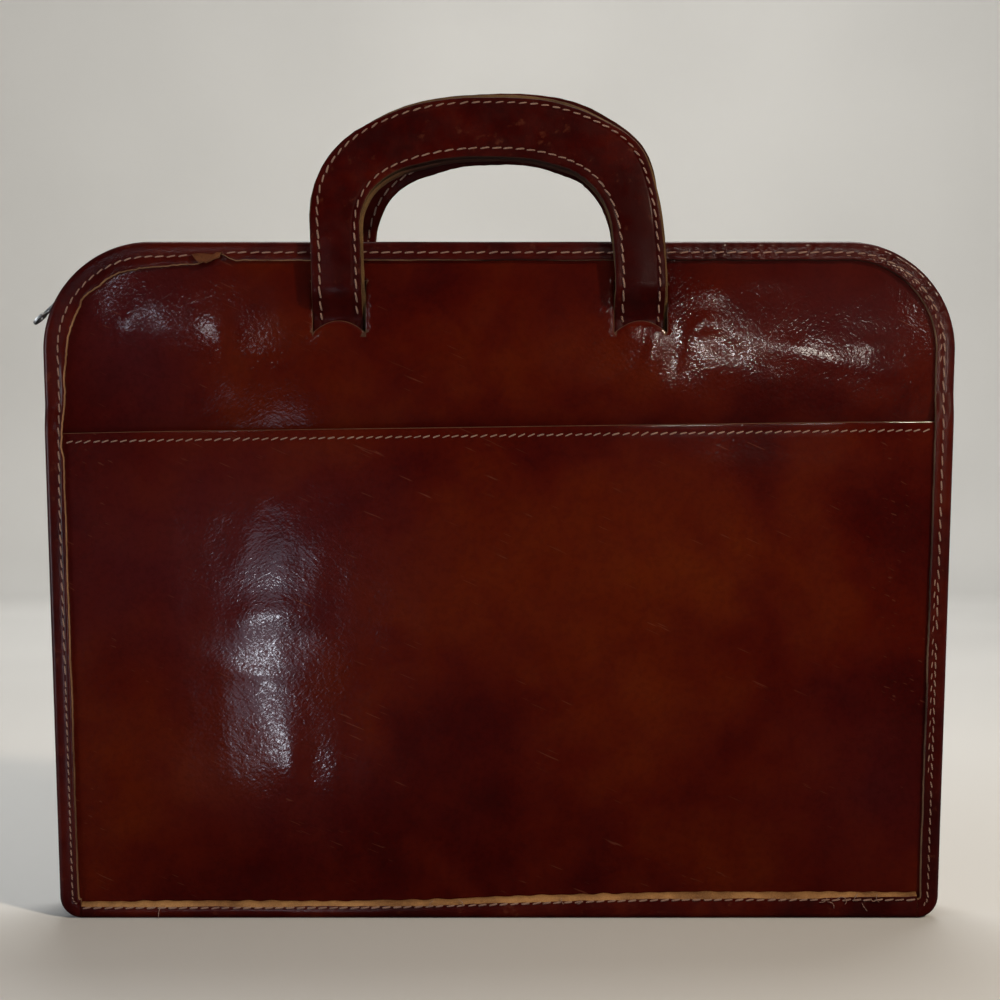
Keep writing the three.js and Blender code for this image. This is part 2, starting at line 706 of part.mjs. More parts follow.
// Half of a handle's outline: pairs of outer and inner places, from the tail to the top.
function handleHalf(where) {
  const outerHalf = HANDLE_SPAN / 2;
  const innerHalf = outerHalf - HANDLE_LEG_WIDTH;
  const tailFoot = slitFoot - TAIL_LENGTH;
  const crossing = crossingHeight(where);
  const outerStart = CASE_HEIGHT + ARCH_OUTER_START;
  const innerStart = CASE_HEIGHT + ARCH_INNER_START;
  const legHeights = [tailFoot, mix(tailFoot, slitCrown, 0.5)];
  const crossingSteps = 6;
  for (let i = 0; i <= crossingSteps; i++) {
    legHeights.push(slitCrown + (crossing * i) / crossingSteps);
  }
  const pairs = legHeights.map((z) => ({
    outer: { x: outerHalf, z },
    inner: { x: innerHalf, z },
  }));
  const outerRise = CASE_HEIGHT + HANDLE_RISE - outerStart;
  const innerRise = CASE_HEIGHT + HANDLE_RISE - HANDLE_TOP_WIDTH - innerStart;
  const power = 2 / ARCH_EXPONENT;
  const half = ARCH_STEPS / 2;
  for (let i = 0; i <= half; i++) {
    const angle = (Math.PI / 2) * (i / half);
    const across = Math.max(0, Math.cos(angle)) ** power;
    const up = Math.sin(angle) ** power;
    pairs.push({
      outer: { x: i === half ? 0 : outerHalf * across, z: outerStart + outerRise * up },
      inner: { x: i === half ? 0 : innerHalf * across, z: innerStart + innerRise * up },
    });
  }
  return pairs;
}

// One leather layer of a handle: nearSide 1 is its outer face, -1 the face to the case.
function handleLayer(where, nearSide) {
  const half = handleHalf(where);
  const flip = (p) => ({ x: -p.x, z: p.z });
  const other = half.slice(0, -1).map((p) => ({ outer: flip(p.outer), inner: flip(p.inner) }));
  const pairs = [...half, ...other.reverse()];
  const near = (nearSide * HANDLE_SEAM) / 2;
  const far = near + nearSide * HANDLE_LAYER;
  const at = (p, offset) => {
    const x = where.handleX + p.x + where.sway * smooth((p.z - slitTop(where)) / SLIT_DEPTH);
    const step = 0.5;
    const slope =
      (handleDepth(where, x, p.z + step) - handleDepth(where, x, p.z - step)) / (2 * step);
    const length = Math.hypot(1, slope);
    const y = handleDepth(where, x, p.z) + offset / length;
    return new THREE.Vector3(x, where.side * y, p.z - (offset * slope) / length);
  };
  const rings = pairs.map((p) => [
    at(p.inner, near),
    at(p.outer, near),
    at(p.outer, far),
    at(p.inner, far),
  ]);
  return loft(rings, rectangleSection(0, 1, 0, 1));
}

const leather = (color, roughness) =>
  new THREE.MeshStandardMaterial({ color, roughness, metalness: 0 });
const materials = {
  panel: leather(0x4a1408, 0.35),
  pocket: leather(0x521808, 0.33),
  trim: leather(0x431309, 0.42),
  handle: leather(0x3c100a, 0.42),
  tape: new THREE.MeshStandardMaterial({ color: 0x2c120c, roughness: 0.9, metalness: 0 }),
  metal: new THREE.MeshStandardMaterial({ color: 0xb9b6ae, roughness: 0.28, metalness: 1 }),
};

const documentCase = new THREE.Group();

function add(name, geometry, material, parent = documentCase) {
  const mesh = new THREE.Mesh(geometry, material);
  mesh.name = name;
  parent.add(mesh);
}

add("front_panel", panel(sides.front), materials.panel);
add("rear_panel", panel(sides.rear), materials.panel);
add("front_pocket", sheet(pocketGrid(), pocketOuter, POCKET_THICKNESS, FRONT), materials.pocket);
add("front_binding", binding(FRONT), materials.trim);
add("rear_binding", binding(REAR), materials.trim);
add("base_strip", baseStrip(), materials.trim);
add("left_gusset", gusset(-1, 0, zipStart - GAP), materials.trim);
add("right_gusset", gusset(1, zipEnd + GAP, pathLength), materials.trim);
add("front_zip_tape", zipTape(FRONT), materials.tape);
add("rear_zip_tape", zipTape(REAR), materials.tape);
add("zip_teeth", zipTeeth(), materials.metal);
for (const [name, where] of Object.entries(sides)) {
  add(`${name}_handle_outer`, handleLayer(where, 1), materials.handle);
  add(`${name}_handle_inner`, handleLayer(where, -1), materials.handle);
}

const zipSliderFrame = sliderFrame();
documentCase.add(zipSliderFrame);
add("zip_slider", slider(), materials.metal, zipSliderFrame);
add("zip_pull", pull(), materials.metal, zipSliderFrame);

export default documentCase;
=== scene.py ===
"""Looks of a slim zip-round leather document case, standing on its base.

Lengths are in millimetres until a mesh is made, in the frame's axes: +X to the right,
+Z up, and the front faces -Y.
"""
import math

import bpy
import numpy as np
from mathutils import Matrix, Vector
from mathutils.geometry import delaunay_2d_cdt


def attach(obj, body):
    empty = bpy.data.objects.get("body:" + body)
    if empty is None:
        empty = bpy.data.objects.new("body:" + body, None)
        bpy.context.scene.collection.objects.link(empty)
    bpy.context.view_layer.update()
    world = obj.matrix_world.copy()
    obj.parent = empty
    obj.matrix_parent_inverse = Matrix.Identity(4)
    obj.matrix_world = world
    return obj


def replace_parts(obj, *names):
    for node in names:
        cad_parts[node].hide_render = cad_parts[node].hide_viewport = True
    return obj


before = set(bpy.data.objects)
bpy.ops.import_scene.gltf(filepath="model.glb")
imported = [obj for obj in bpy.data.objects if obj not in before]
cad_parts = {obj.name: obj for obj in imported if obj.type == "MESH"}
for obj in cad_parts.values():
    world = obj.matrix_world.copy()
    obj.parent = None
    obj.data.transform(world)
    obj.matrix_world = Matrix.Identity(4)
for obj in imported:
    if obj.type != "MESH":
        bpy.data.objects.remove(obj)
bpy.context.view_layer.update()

MM = 0.001
FRONT, REAR = -1, 1

# Sizes of the frame's pieces, as in its source
CASE_HEIGHT = 295
BASE_WIDTH = 382
TOP_WIDTH = 402
TOP_CORNER_RADIUS = 47
BASE_CORNER_RADIUS = 9.5
GAP = 0.3
PANEL_THICKNESS = 1.8
POCKET_THICKNESS = 1.8
BINDING_THICKNESS = 1.6
BASE_THICKNESS = 2.2
GUSSET_THICKNESS = 1.4
PANEL_SEAT = 15
PANEL_BULGE = 1.6
REAR_BULGE = 4.6
POCKET_BULGE = 6.6
SIDE_RISE = 50
BASE_RISE = 60
TOP_RISE = 40
MOUTH_LEFT = 211
MOUTH_RIGHT = 216.5
MOUTH_STEP = 14
BINDING_FACE = 8.4
BINDING_ROUND = 2.4
BASE_LIP = 8.3
BASE_ROUND = 3
RECESS = 3.8
GUSSET_FOLD = 3.5
GUSSET_TUCK = 12
GUSSET_SETTLE = 40
ZIP_END_HEIGHT = 255
TAPE_THICKNESS = 0.8
TEETH_WIDTH = 5.2
TEETH_THICKNESS = 1.8
SLIDER_SLOPE = 34
SLIDER_LENGTH = 11
SLIDER_TO_END = 7.2
WEDGE_LENGTH = 2.8
HANDLE_LAYER = 2.3
HANDLE_SEAM = 0.25
HANDLE_SPAN = 154.6
HANDLE_LEG_WIDTH = 22.9
HANDLE_RISE = 65
HANDLE_TOP_WIDTH = 26.5
ARCH_OUTER_START = 7.5
ARCH_INNER_START = 1
ARCH_EXPONENT = 2.4
HANDLE_CLEARANCE = 0.8
HANDLE_MEET = 5
SLIT_DEPTH = 40
SLIT_RISE = 5.3
SLIT_CLEARANCE = 0.1
CROSSING_SLOPE = 0.56
TAIL_LENGTH = 20

# Broad folds: across, up, half width, half height (shares of the case), and share of the bulge
POCKET_FOLDS = [
    (-0.5, 0.4, 0.2, 0.26, 0.24),
    (-0.22, 0.3, 0.16, 0.3, -0.1),
    (0.72, 0.36, 0.24, 0.3, -0.12),
    (0.2, 0.52, 0.4, 0.18, 0.1),
]
PANEL_FOLDS = [(0.62, 0.79, 0.24, 0.06, 0.3), (-0.66, 0.84, 0.18, 0.09, 0.22)]
REAR_FOLDS = [(0.4, 0.35, 0.3, 0.3, 0.15), (-0.5, 0.6, 0.25, 0.25, -0.15)]

# Small creases seen in the photograph: centre x and z, half length, half width,
# tilt in degrees from level, and height, all in millimetres
POCKET_CREASES = [
    (-98, 132, 26, 7, 8, 0.5),
    (-100, 120, 24, 6, 4, -0.25),
    (-176, 46, 22, 2.2, -55, 0.25),
    (-182, 40, 14, 1.8, -60, 0.2),
    (-104, 106, 13, 2.6, -12, 0.35),
    (-90, 72, 9, 20, 12, 0.5),
    (-82, 62, 7, 18, 10, -0.35),
    (-150, 60, 18, 10, 60, 0.35),
    (-60, 165, 40, 12, 20, 0.2),
    (60, 150, 50, 16, -15, 0.25),
    (120, 90, 30, 14, 30, 0.25),
    (20, 60, 60, 12, -5, 0.25),
    (25, 204, 5, 1.6, 30, 0.3),
    (150, 40, 30, 8, 10, 0.3),
]
PANEL_CREASES = [
    (140, 245, 30, 5, -14, 0.28),
    (165, 249, 22, 4, -8, 0.2),
    (150, 236, 26, 4, -10, -0.08),
    (178, 240, 14, 3, 24, 0.12),
    (88, 258, 6, 4, 20, 0.65),
    (96, 251, 12, 4, -30, -0.4),
    (66, 244, 12, 3, 70, 0.4),
    (78, 246, 10, 3, 75, -0.35),
    (100, 272, 18, 6, -50, 0.35),
    (120, 280, 20, 5, 10, 0.4),
    (40, 230, 26, 3, 28, 0.45),
    (52, 262, 5, 16, -12, -0.35),
    (-82, 262, 4, 16, -14, -0.25),
    (-122, 252, 5, 20, 4, 0.3),
    (-160, 262, 24, 8, 50, 0.3),
    (-130, 235, 30, 8, 5, 0.12),
    (-20, 262, 30, 5, 12, 0.3),
    (0, 240, 40, 5, -8, 0.25),
]
REAR_CREASES = [
    (60, 90, 60, 14, 20, 0.4),
    (-90, 180, 50, 10, -30, 0.4),
    (110, 230, 40, 7, 15, 0.4),
    (-40, 60, 70, 12, -8, 0.3),
    (0, 200, 60, 8, 10, 0.3),
]

pocket_seat = PANEL_SEAT + GAP + POCKET_THICKNESS
panel_inner = PANEL_SEAT - PANEL_THICKNESS
flange_inner = panel_inner - GAP
valley_half = flange_inner - BINDING_THICKNESS
edge_inset = BINDING_THICKNESS + GAP
panel_foot = BASE_THICKNESS + GAP
handle_thickness = 2 * HANDLE_LAYER + HANDLE_SEAM
teeth_top = -RECESS - TAPE_THICKNESS / 2 + TEETH_THICKNESS / 2


def mix(a, b, share):
    return a + (b - a) * share


def smooth(share):
    t = np.clip(share, 0, 1)
    return t * t * (3 - 2 * t)


def rise(share):
    return np.sin(np.pi / 2 * np.clip(share, 0, 1))


def unit(vectors):
    return vectors / np.linalg.norm(vectors, axis=1)[:, None]


def lengths_along(path):
    """Length from a path's first point to each of its points."""
    return np.concatenate([[0], np.cumsum(np.linalg.norm(np.diff(path, axis=0), axis=1))])


def corner_drop(share):
    """1 at a rounded corner's edge and 0 where the rounding ends."""
    return 1 - np.sqrt(np.clip(1 - (1 - np.clip(share, 0, 1)) ** 2, 0, 1))


def ripple(a, b, length, seed, waves=9):
    """A smooth random field between about -1 and 1, with bumps of about that length."""
    rng = np.random.default_rng(seed)
    total = 0
    for _ in range(waves):
        turn = rng.uniform(0, 2 * np.pi)
        size = length * rng.uniform(0.7, 1.5)
        phase = rng.uniform(0, 2 * np.pi)
        total = total + np.sin((a * np.cos(turn) + b * np.sin(turn)) * np.pi / size + phase)
    return total / math.sqrt(waves)


# Outline of the case

LEAN = math.atan((TOP_WIDTH - BASE_WIDTH) / 2 / CASE_HEIGHT)


def arc_centre(z, radius):
    return BASE_WIDTH / 2 + z * math.tan(LEAN) - radius / math.cos(LEAN), z


TOP_X, TOP_Z = arc_centre(CASE_HEIGHT - TOP_CORNER_RADIUS, TOP_CORNER_RADIUS)
BASE_X, BASE_Z = arc_centre(BASE_CORNER_RADIUS, BASE_CORNER_RADIUS)


def edge_x(z, inset):
    """Half width of the outline at a height, inset inside the silhouette."""
    z = np.asarray(z, float)
    top, base = TOP_CORNER_RADIUS - inset, BASE_CORNER_RADIUS - inset
    line = BASE_WIDTH / 2 + z * math.tan(LEAN) - inset / math.cos(LEAN)
    upper = TOP_X + np.sqrt(np.maximum(0, top**2 - (z - TOP_Z) ** 2))
    lower = BASE_X + np.sqrt(np.maximum(0, base**2 - (z - BASE_Z) ** 2))
    line = np.where(z > TOP_Z - top * math.sin(LEAN), upper, line)
    return np.where(z < BASE_Z - base * math.sin(LEAN), lower, line)


def silhouette():
    """x, z, normal x, normal z and length along the outline, from its lower left end."""
    rows = [(BASE_X - GUSSET_TUCK, 0, 0, -1)]

    def arc(centre, radius, start, end, count):
        for angle in np.linspace(start, end, count):
            nx, nz = math.cos(angle), math.sin(angle)
            rows.append((centre[0] + radius * nx, centre[1] + radius * nz, nx, nz))

    arc((BASE_X, BASE_Z), BASE_CORNER_RADIUS, -math.pi / 2, -LEAN, 30)
    arc((TOP_X, TOP_Z), TOP_CORNER_RADIUS, -LEAN, math.pi / 2, 90)
    right = np.array(rows)
    left = right * [-1, 1, -1, 1]
    path = np.vstack([left, right[::-1]])
    return np.column_stack([path, lengths_along(path[:, :2])])


OUTLINE = silhouette()
OUTLINE_LENGTH = OUTLINE[-1, 4]


def stations(along):
    """x, z, normal x and normal z at lengths along the outline."""
    along = np.asarray(along, float)
    x, z, nx, nz = (np.interp(along, OUTLINE[:, 4], OUTLINE[:, i]) for i in range(4))
    size = np.hypot(nx, nz)
    return x, z, nx / size, nz / size


def along_at_height(z):
    half = len(OUTLINE) // 2
    return float(np.interp(z, OUTLINE[:half, 1], OUTLINE[:half, 4]))


def steps_between(start, end, step):
    return np.linspace(start, end, max(2, round((end - start) / step)))


slider_angle = math.radians(SLIDER_SLOPE)
slider_height = TOP_Z + TOP_CORNER_RADIUS * math.sin(slider_angle)
slider_along = along_at_height(slider_height)
zip_start = slider_along - SLIDER_TO_END
zip_end = OUTLINE_LENGTH - along_at_height(ZIP_END_HEIGHT) + GAP
teeth_start = slider_along - SLIDER_LENGTH / 2 + WEDGE_LENGTH + GAP


# Outer faces of the large pieces, as distances from the middle plane


def mouth_height(x):
    return mix(MOUTH_LEFT, MOUTH_RIGHT, 0.5 + x / TOP_WIDTH)


def fold_sum(folds, x, z):
    total = 0
    for across, up, wide, high, size in folds:
        dx = (x / (TOP_WIDTH / 2) - across) / wide
        dz = (z / CASE_HEIGHT - up) / high
        total = total + size * np.exp(-(dx * dx + dz * dz))
    return total


def crease_sum(creases, x, z):
    total = 0
    for cx, cz, long, wide, tilt, height in creases:
        c, s = math.cos(math.radians(tilt)), math.sin(math.radians(tilt))
        u = ((x - cx) * c + (z - cz) * s) / long
        v = (-(x - cx) * s + (z - cz) * c) / wide
        total = total + height * np.exp(-(u * u) - (v * v))
    return total


def side_share(x, z):
    return rise((edge_x(z, BINDING_FACE) - np.abs(x)) / SIDE_RISE)


FADE_WIDTH = 14
PANEL_TOP = CASE_HEIGHT - BINDING_FACE


def edge_fade(x, z, top):
    """1 on the open leather and 0 at the stitched edges."""
    inside = np.minimum(edge_x(z, BINDING_FACE) - np.abs(x), z - BASE_LIP)
    return smooth(np.minimum(inside, top - z) / FADE_WIDTH)


def front_panel_broad(x, z):
    """The front panel's bulge and folds, without its small creases."""
    foot = mouth_height(x) + GAP
    height = np.clip((z - foot) / (PANEL_TOP - foot), 0, 1)
    swell = np.sin(np.pi * height) * side_share(x, z)
    return PANEL_SEAT + PANEL_BULGE * swell * (1 + fold_sum(PANEL_FOLDS, x, z))


def rear_panel_broad(x, z):
    swell = rise((z - BASE_LIP) / BASE_RISE) * rise((PANEL_TOP - z) / TOP_RISE) * side_share(x, z)
    return PANEL_SEAT + REAR_BULGE * swell * (1 + fold_sum(REAR_FOLDS, x, z))


def front_panel_outer(x, z):
    fine = crease_sum(PANEL_CREASES, x, z) + 0.16 * ripple(x, z, 22, 3) + 0.04 * ripple(x, z, 7, 4)
    shown = smooth((z - mouth_height(x) - GAP) / 8)
    return front_panel_broad(x, z) + fine * edge_fade(x, z, PANEL_TOP) * shown


def rear_panel_outer(x, z):
    fine = crease_sum(REAR_CREASES, x, z) + 0.22 * ripple(x, z, 34, 5) + 0.04 * ripple(x, z, 9, 6)
    return rear_panel_broad(x, z) + fine * edge_fade(x, z, PANEL_TOP)


def pocket_outer(x, z):
    swell = rise((z - BASE_LIP) / BASE_RISE) * side_share(x, z)
    base = pocket_seat + POCKET_BULGE * swell * (1 + fold_sum(POCKET_FOLDS, x, z))
    fine = crease_sum(POCKET_CREASES, x, z) + 0.2 * ripple(x, z, 34, 7) + 0.04 * ripple(x, z, 9, 8)
    return base + fine * edge_fade(x, z, mouth_height(x) - 6)


HEM_SEAM = 4
HEM_FOLD = 8.5
HEM_LIP = 0.6


def hem_relief(depth):
    """Height of the hem's profile at a distance below the pocket's mouth."""
    rounding = HEM_LIP * corner_drop(depth / HEM_LIP)
    doubled = 0.07 * (1 - smooth((depth - HEM_FOLD + 3) / 9))
    groove = 0.03 * np.exp(-(((depth - HEM_SEAM) / 0.9) ** 2))
    return doubled - groove - rounding


def mouth_sag(x, z, depth):
    """Slight waves of the pocket's mouth, which die out below it."""
    return 0.35 * ripple(x, 0 * x, 60, 11) * np.exp(-depth / 30) * side_share(x, z)


# Materials


class Shading:
    """A node tree with a Principled shader, and short ways to add texture nodes."""

    def __init__(self, name, roughness=0.5, metallic=0, **sockets):
        self.material = bpy.data.materials.new(name)
        self.material.use_nodes = True
        self.tree = self.material.node_tree
        self.shader = self.tree.nodes["Principled BSDF"]
        self.shader.inputs["Roughness"].default_value = roughness
        self.shader.inputs["Metallic"].default_value = metallic
        for socket, value in sockets.items():
            self.shader.inputs[socket.replace("_", " ")].default_value = value
        self.place = self.scaled((1, 1, 1))
        self.last_bump = None

    def add(self, kind, **settings):
        node = self.tree.nodes.new(kind)
        for key, value in settings.items():
            setattr(node, key, value)
        return node

    def join(self, source, target):
        self.tree.links.new(source, target)

    def put(self, socket, value):
        if isinstance(value, bpy.types.NodeSocket):
            self.join(value, socket)
        else:
            socket.default_value = value

    def scaled(self, stretch, turn=0):
        """Object coordinates in millimetres, stretched along the axes and turned about Y."""
        where = self.add("ShaderNodeTexCoord").outputs["Object"]
        mapping = self.add("ShaderNodeMapping", vector_type="TEXTURE")
        self.join(where, mapping.inputs["Vector"])
        mapping.inputs["Scale"].default_value = [MM / s for s in stretch]
        mapping.inputs["Rotation"].default_value = (0, math.radians(turn), 0)
        return mapping.outputs["Vector"]

    def noise(self, size, detail=2, rough=0.5, warp=0, place=None):
        node = self.add("ShaderNodeTexNoise")
        self.join(place or self.place, node.inputs["Vector"])
        node.inputs["Scale"].default_value = 1 / size
        node.inputs["Detail"].default_value = detail
        node.inputs["Roughness"].default_value = rough
        node.inputs["Distortion"].default_value = warp
        return node.outputs["Fac"]

    def cells(self, size, place):
        node = self.add("ShaderNodeTexVoronoi")
        self.join(place, node.inputs["Vector"])
        node.inputs["Scale"].default_value = 1 / size
        return node.outputs["Distance"]

    def warped(self, size, amount):
        """The place, pushed about by noise."""
        push = self.add("ShaderNodeTexNoise")
        self.join(self.place, push.inputs["Vector"])
        push.inputs["Scale"].default_value = 1 / size
        vector = self.add("ShaderNodeVectorMath", operation="MULTIPLY_ADD")
        self.join(push.outputs["Color"], vector.inputs[0])
        vector.inputs[1].default_value = (amount,) * 3
        self.join(self.place, vector.inputs[2])
        return vector.outputs["Vector"]

    def times(self, a, b):
        node = self.add("ShaderNodeMath", operation="MULTIPLY")
        self.put(node.inputs[0], a)
        self.put(node.inputs[1], b)
        return node.outputs["Value"]

    def weighted(self, *terms, start=0.0):
        """The sum of values times their weights, added to a start."""
        total = start
        for value, weight in terms:
            node = self.add("ShaderNodeMath", operation="MULTIPLY_ADD")
            for socket, part in zip(node.inputs, (value, weight, total)):
                self.put(socket, part)
            total = node.outputs["Value"]
        return total

    def fit(self, value, low, high, out_low=0.0, out_high=1.0):
        node = self.add("ShaderNodeMapRange", interpolation_type="SMOOTHSTEP")
        self.put(node.inputs["Value"], value)
        limits = {"From Min": low, "From Max": high, "To Min": out_low, "To Max": out_high}
        for key, number in limits.items():
            node.inputs[key].default_value = number
        return node.outputs["Result"]

    def ramp(self, value, stops):
        node = self.add("ShaderNodeValToRGB")
        self.put(node.inputs["Fac"], value)
        elements = node.color_ramp.elements
        while len(elements) < len(stops):
            elements.new(1)
        for element, (place, colour) in zip(elements, stops):
            element.position = place
            element.color = (*colour, 1)
        return node.outputs["Color"]

    def blend(self, share, a, b, mode="MIX"):
        node = self.add("ShaderNodeMix", data_type="RGBA", blend_type=mode)
        self.put(node.inputs[0], share)
        for socket, value in ((node.inputs[6], a), (node.inputs[7], b)):
            self.put(socket, value if isinstance(value, bpy.types.NodeSocket) else (*value, 1))
        return node.outputs[2]

    def spot(self, x, z, wide, high):
        """1 at a place on the front, fading to 0 at an oval round it."""
        mapping = self.add("ShaderNodeMapping", vector_type="POINT")
        self.join(self.warped(40, 40), mapping.inputs["Vector"])
        mapping.inputs["Location"].default_value = (-(x + 20) / wide, 0, -(z + 20) / high)
        mapping.inputs["Scale"].default_value = (1 / wide, 0, 1 / high)
        node = self.add("ShaderNodeTexGradient", gradient_type="SPHERICAL")
        self.join(mapping.outputs["Vector"], node.inputs["Vector"])
        return node.outputs["Fac"]

    def spots(self, rows):
        """Spots with their weights, from rows of x, z, half width, half height and weight."""
        return [(self.spot(*oval), weight) for *oval, weight in rows]

    # Colour tinted in the given spots: used for stains on cut edges, and for painted shade and painted
    # sheen
    def tint_spots(self, rows, colour, tint):
        for spot, weight in self.spots(rows):
            colour = self.blend(self.times(spot, weight), colour, tint)
        return colour

    def bump(self, height, depth):
        """Relief of a depth in millimetres, added to the relief before it."""
        node = self.add("ShaderNodeBump")
        node.inputs["Strength"].default_value = 1
        node.inputs["Distance"].default_value = depth * MM
        self.put(node.inputs["Height"], height)
        if self.last_bump:
            self.join(self.last_bump, node.inputs["Normal"])
        self.last_bump = node.outputs["Normal"]

    def finish(self, colour, roughness=None):
        self.put(self.shader.inputs["Base Color"], colour)
        if roughness is not None:
            self.put(self.shader.inputs["Roughness"], roughness)
        if self.last_bump:
            self.join(self.last_bump, self.shader.inputs["Normal"])
            self.join(self.last_bump, self.shader.inputs["Coat Normal"])
        return self.material


DARK = (0.022, 0.0008, 0.0005)
DEEP = (0.036, 0.0014, 0.0005)
RED = (0.053, 0.0032, 0.0006)
WARM = (0.072, 0.0070, 0.0008)
PALE = (0.092, 0.0130, 0.0015)


def polished_leather(name, painted_warm_light=(), painted_cool_sheen=(), tone=0.0, crackle=()):
    """Glossy dyed leather: clouded colour, fine grain, creases and hairline scratches, with painted warm
    light and a painted cool sheen in the spots given.
    """
    s = Shading(
        name, roughness=0.4, Coat_Weight=0.7, Coat_Roughness=0.11, Coat_IOR=1.45,
        Specular_IOR_Level=0.02,
    )
    clouds = s.noise(70, detail=2, rough=0.5, warp=0.6)
    patches = s.noise(19, detail=3, rough=0.6, warp=0.4)
    # Painted warm light: the colour is lighter and warmer in the given spots, where the warm lamp's light
    # would fall
    value = s.weighted((clouds, 0.72), (patches, 0.28), *s.spots(painted_warm_light), start=tone - 0.01)
    colour = s.ramp(value, [(0.28, DARK), (0.42, DEEP), (0.54, RED), (0.7, WARM), (0.88, PALE)])
    # Painted cool sheen: a bluish purple tint where the cool light's reflection would lie
    colour = s.tint_spots(painted_cool_sheen, colour, (0.045, 0.006, 0.0075))
    freckles = s.fit(s.noise(2.6, detail=2, rough=0.65), 0.42, 0.66)
    colour = s.blend(s.times(freckles, 0.22), colour, (0.4, 0.36, 0.33), "MULTIPLY")
    scratch_place = s.scaled((0.05, 1, 1), turn=24)
    scratches = s.fit(s.noise(0.9, detail=1, place=scratch_place), 0.7, 0.76)
    gate = s.fit(s.noise(30, detail=1), 0.5, 0.62)
    colour = s.blend(s.times(s.times(scratches, gate), 0.3), colour, (0.16, 0.05, 0.03))
    worked = s.fit(s.noise(46, detail=1, rough=0.6), 0.4, 0.7, 0.6, 1.1)
    worked = s.weighted(*s.spots(crackle), start=worked)
    # Fine slanting creases where the leather has been bent
    down = s.noise(1.2, detail=1, rough=0.4, warp=0.7, place=s.scaled((0.6, 1, 1.1), turn=-32))
    cross = s.noise(1.45, detail=1, rough=0.4, warp=0.7, place=s.scaled((0.55, 1, 1.1), turn=38))
    s.bump(s.times(s.weighted((cross, 0.75), start=down), worked), 0.045)
    s.bump(s.noise(6.5, detail=1, rough=0.5), 0.05)
    roughness = s.fit(s.noise(24, detail=1, rough=0.6), 0.3, 0.7, 0.32, 0.5)
    return s.finish(colour, roughness)


def trim_leather(name, tone=0.0, gloss=0.32):
    """Satin leather of the bindings and handles, with rubbed places."""
    s = Shading(
        name, roughness=0.42, Coat_Weight=gloss, Coat_Roughness=0.22, Coat_IOR=1.45,
        Specular_IOR_Level=0.06,
    )
    clouds = s.noise(34, detail=2, warp=0.5)
    patches = s.noise(5, detail=4, rough=0.65)
    value = s.weighted((clouds, 0.7), (patches, 0.3), start=tone)
    colour = s.ramp(value, [(0.36, DARK), (0.5, DEEP), (0.62, RED), (0.8, WARM)])
    rubbed = s.fit(s.noise(7, detail=4, rough=0.7), 0.6, 0.72)
    colour = s.blend(s.times(rubbed, 0.3), colour, (0.13, 0.035, 0.018))
    s.bump(s.noise(0.9, detail=2, rough=0.65), 0.06)
    s.bump(s.noise(5, detail=1), 0.14)
    roughness = s.fit(s.noise(9, detail=1, rough=0.6), 0.3, 0.7, 0.34, 0.56)
    return s.finish(colour, roughness)


def cut_leather(name, dark, light, stains_and_shade=()):
    """Raw cut edge: pale fibres, darker where it was handled or marked by stains, and darker with painted
    shade in the spots given.
    """
    s = Shading(name, roughness=0.82, Specular_IOR_Level=0.25)
    grime = s.noise(16, detail=4, rough=0.6)
    fibres = s.noise(0.6, detail=4, rough=0.7)
    middle = tuple(mix(np.array(dark), np.array(light), 0.55))
    value = s.weighted((grime, 0.65), (fibres, 0.35))
    colour = s.ramp(value, [(0.34, dark), (0.52, middle), (0.66, light)])
    # Darker in the given spots: stains on the binding's edge, and painted shade on the handles' edge
    colour = s.tint_spots(stains_and_shade, colour, (0.026, 0.006, 0.002))
    s.bump(fibres, 0.22)
    s.bump(s.noise(2.5, detail=3, rough=0.6), 0.25)
    return s.finish(colour)


def thread_material(name, colour, shade):
    s = Shading(name, roughness=0.66, Sheen_Weight=0.25)
    twist = s.add("ShaderNodeTexWave", wave_type="BANDS", bands_direction="DIAGONAL")
    s.join(s.place, twist.inputs["Vector"])
    twist.inputs["Scale"].default_value = 0.9
    twist.inputs["Distortion"].default_value = 0.6
    plies = twist.outputs["Fac"]
    # Darker in the grooves between the plies: painted shade, with random tone from noise
    value = s.weighted((plies, 0.5), (s.noise(11, detail=3, rough=0.6), 0.6))
    s.bump(plies, 0.12)
    return s.finish(s.ramp(value, [(0.25, shade), (0.8, colour)]))


def metal_material(name, colour):
    s = Shading(name, roughness=0.3, metallic=1.0)
    worn = s.noise(1.6, detail=4, rough=0.6)
    s.bump(s.noise(0.5, detail=2), 0.015)
    dull = tuple(0.62 * c for c in colour)
    return s.finish(s.ramp(worn, [(0.36, dull), (0.6, colour)]), s.fit(worn, 0.3, 0.7, 0.5, 0.3))


def tape_material(name):
    s = Shading(name, roughness=0.92, Sheen_Weight=0.3)
    weave = s.cells(0.55, place=s.scaled((1, 1.6, 1)))
    colour = s.ramp(s.noise(4, detail=3), [(0.3, (0.012, 0.005, 0.004)), (0.7, (0.032, 0.013, 0.009))])
    s.bump(weave, 0.18)
    return s.finish(colour)


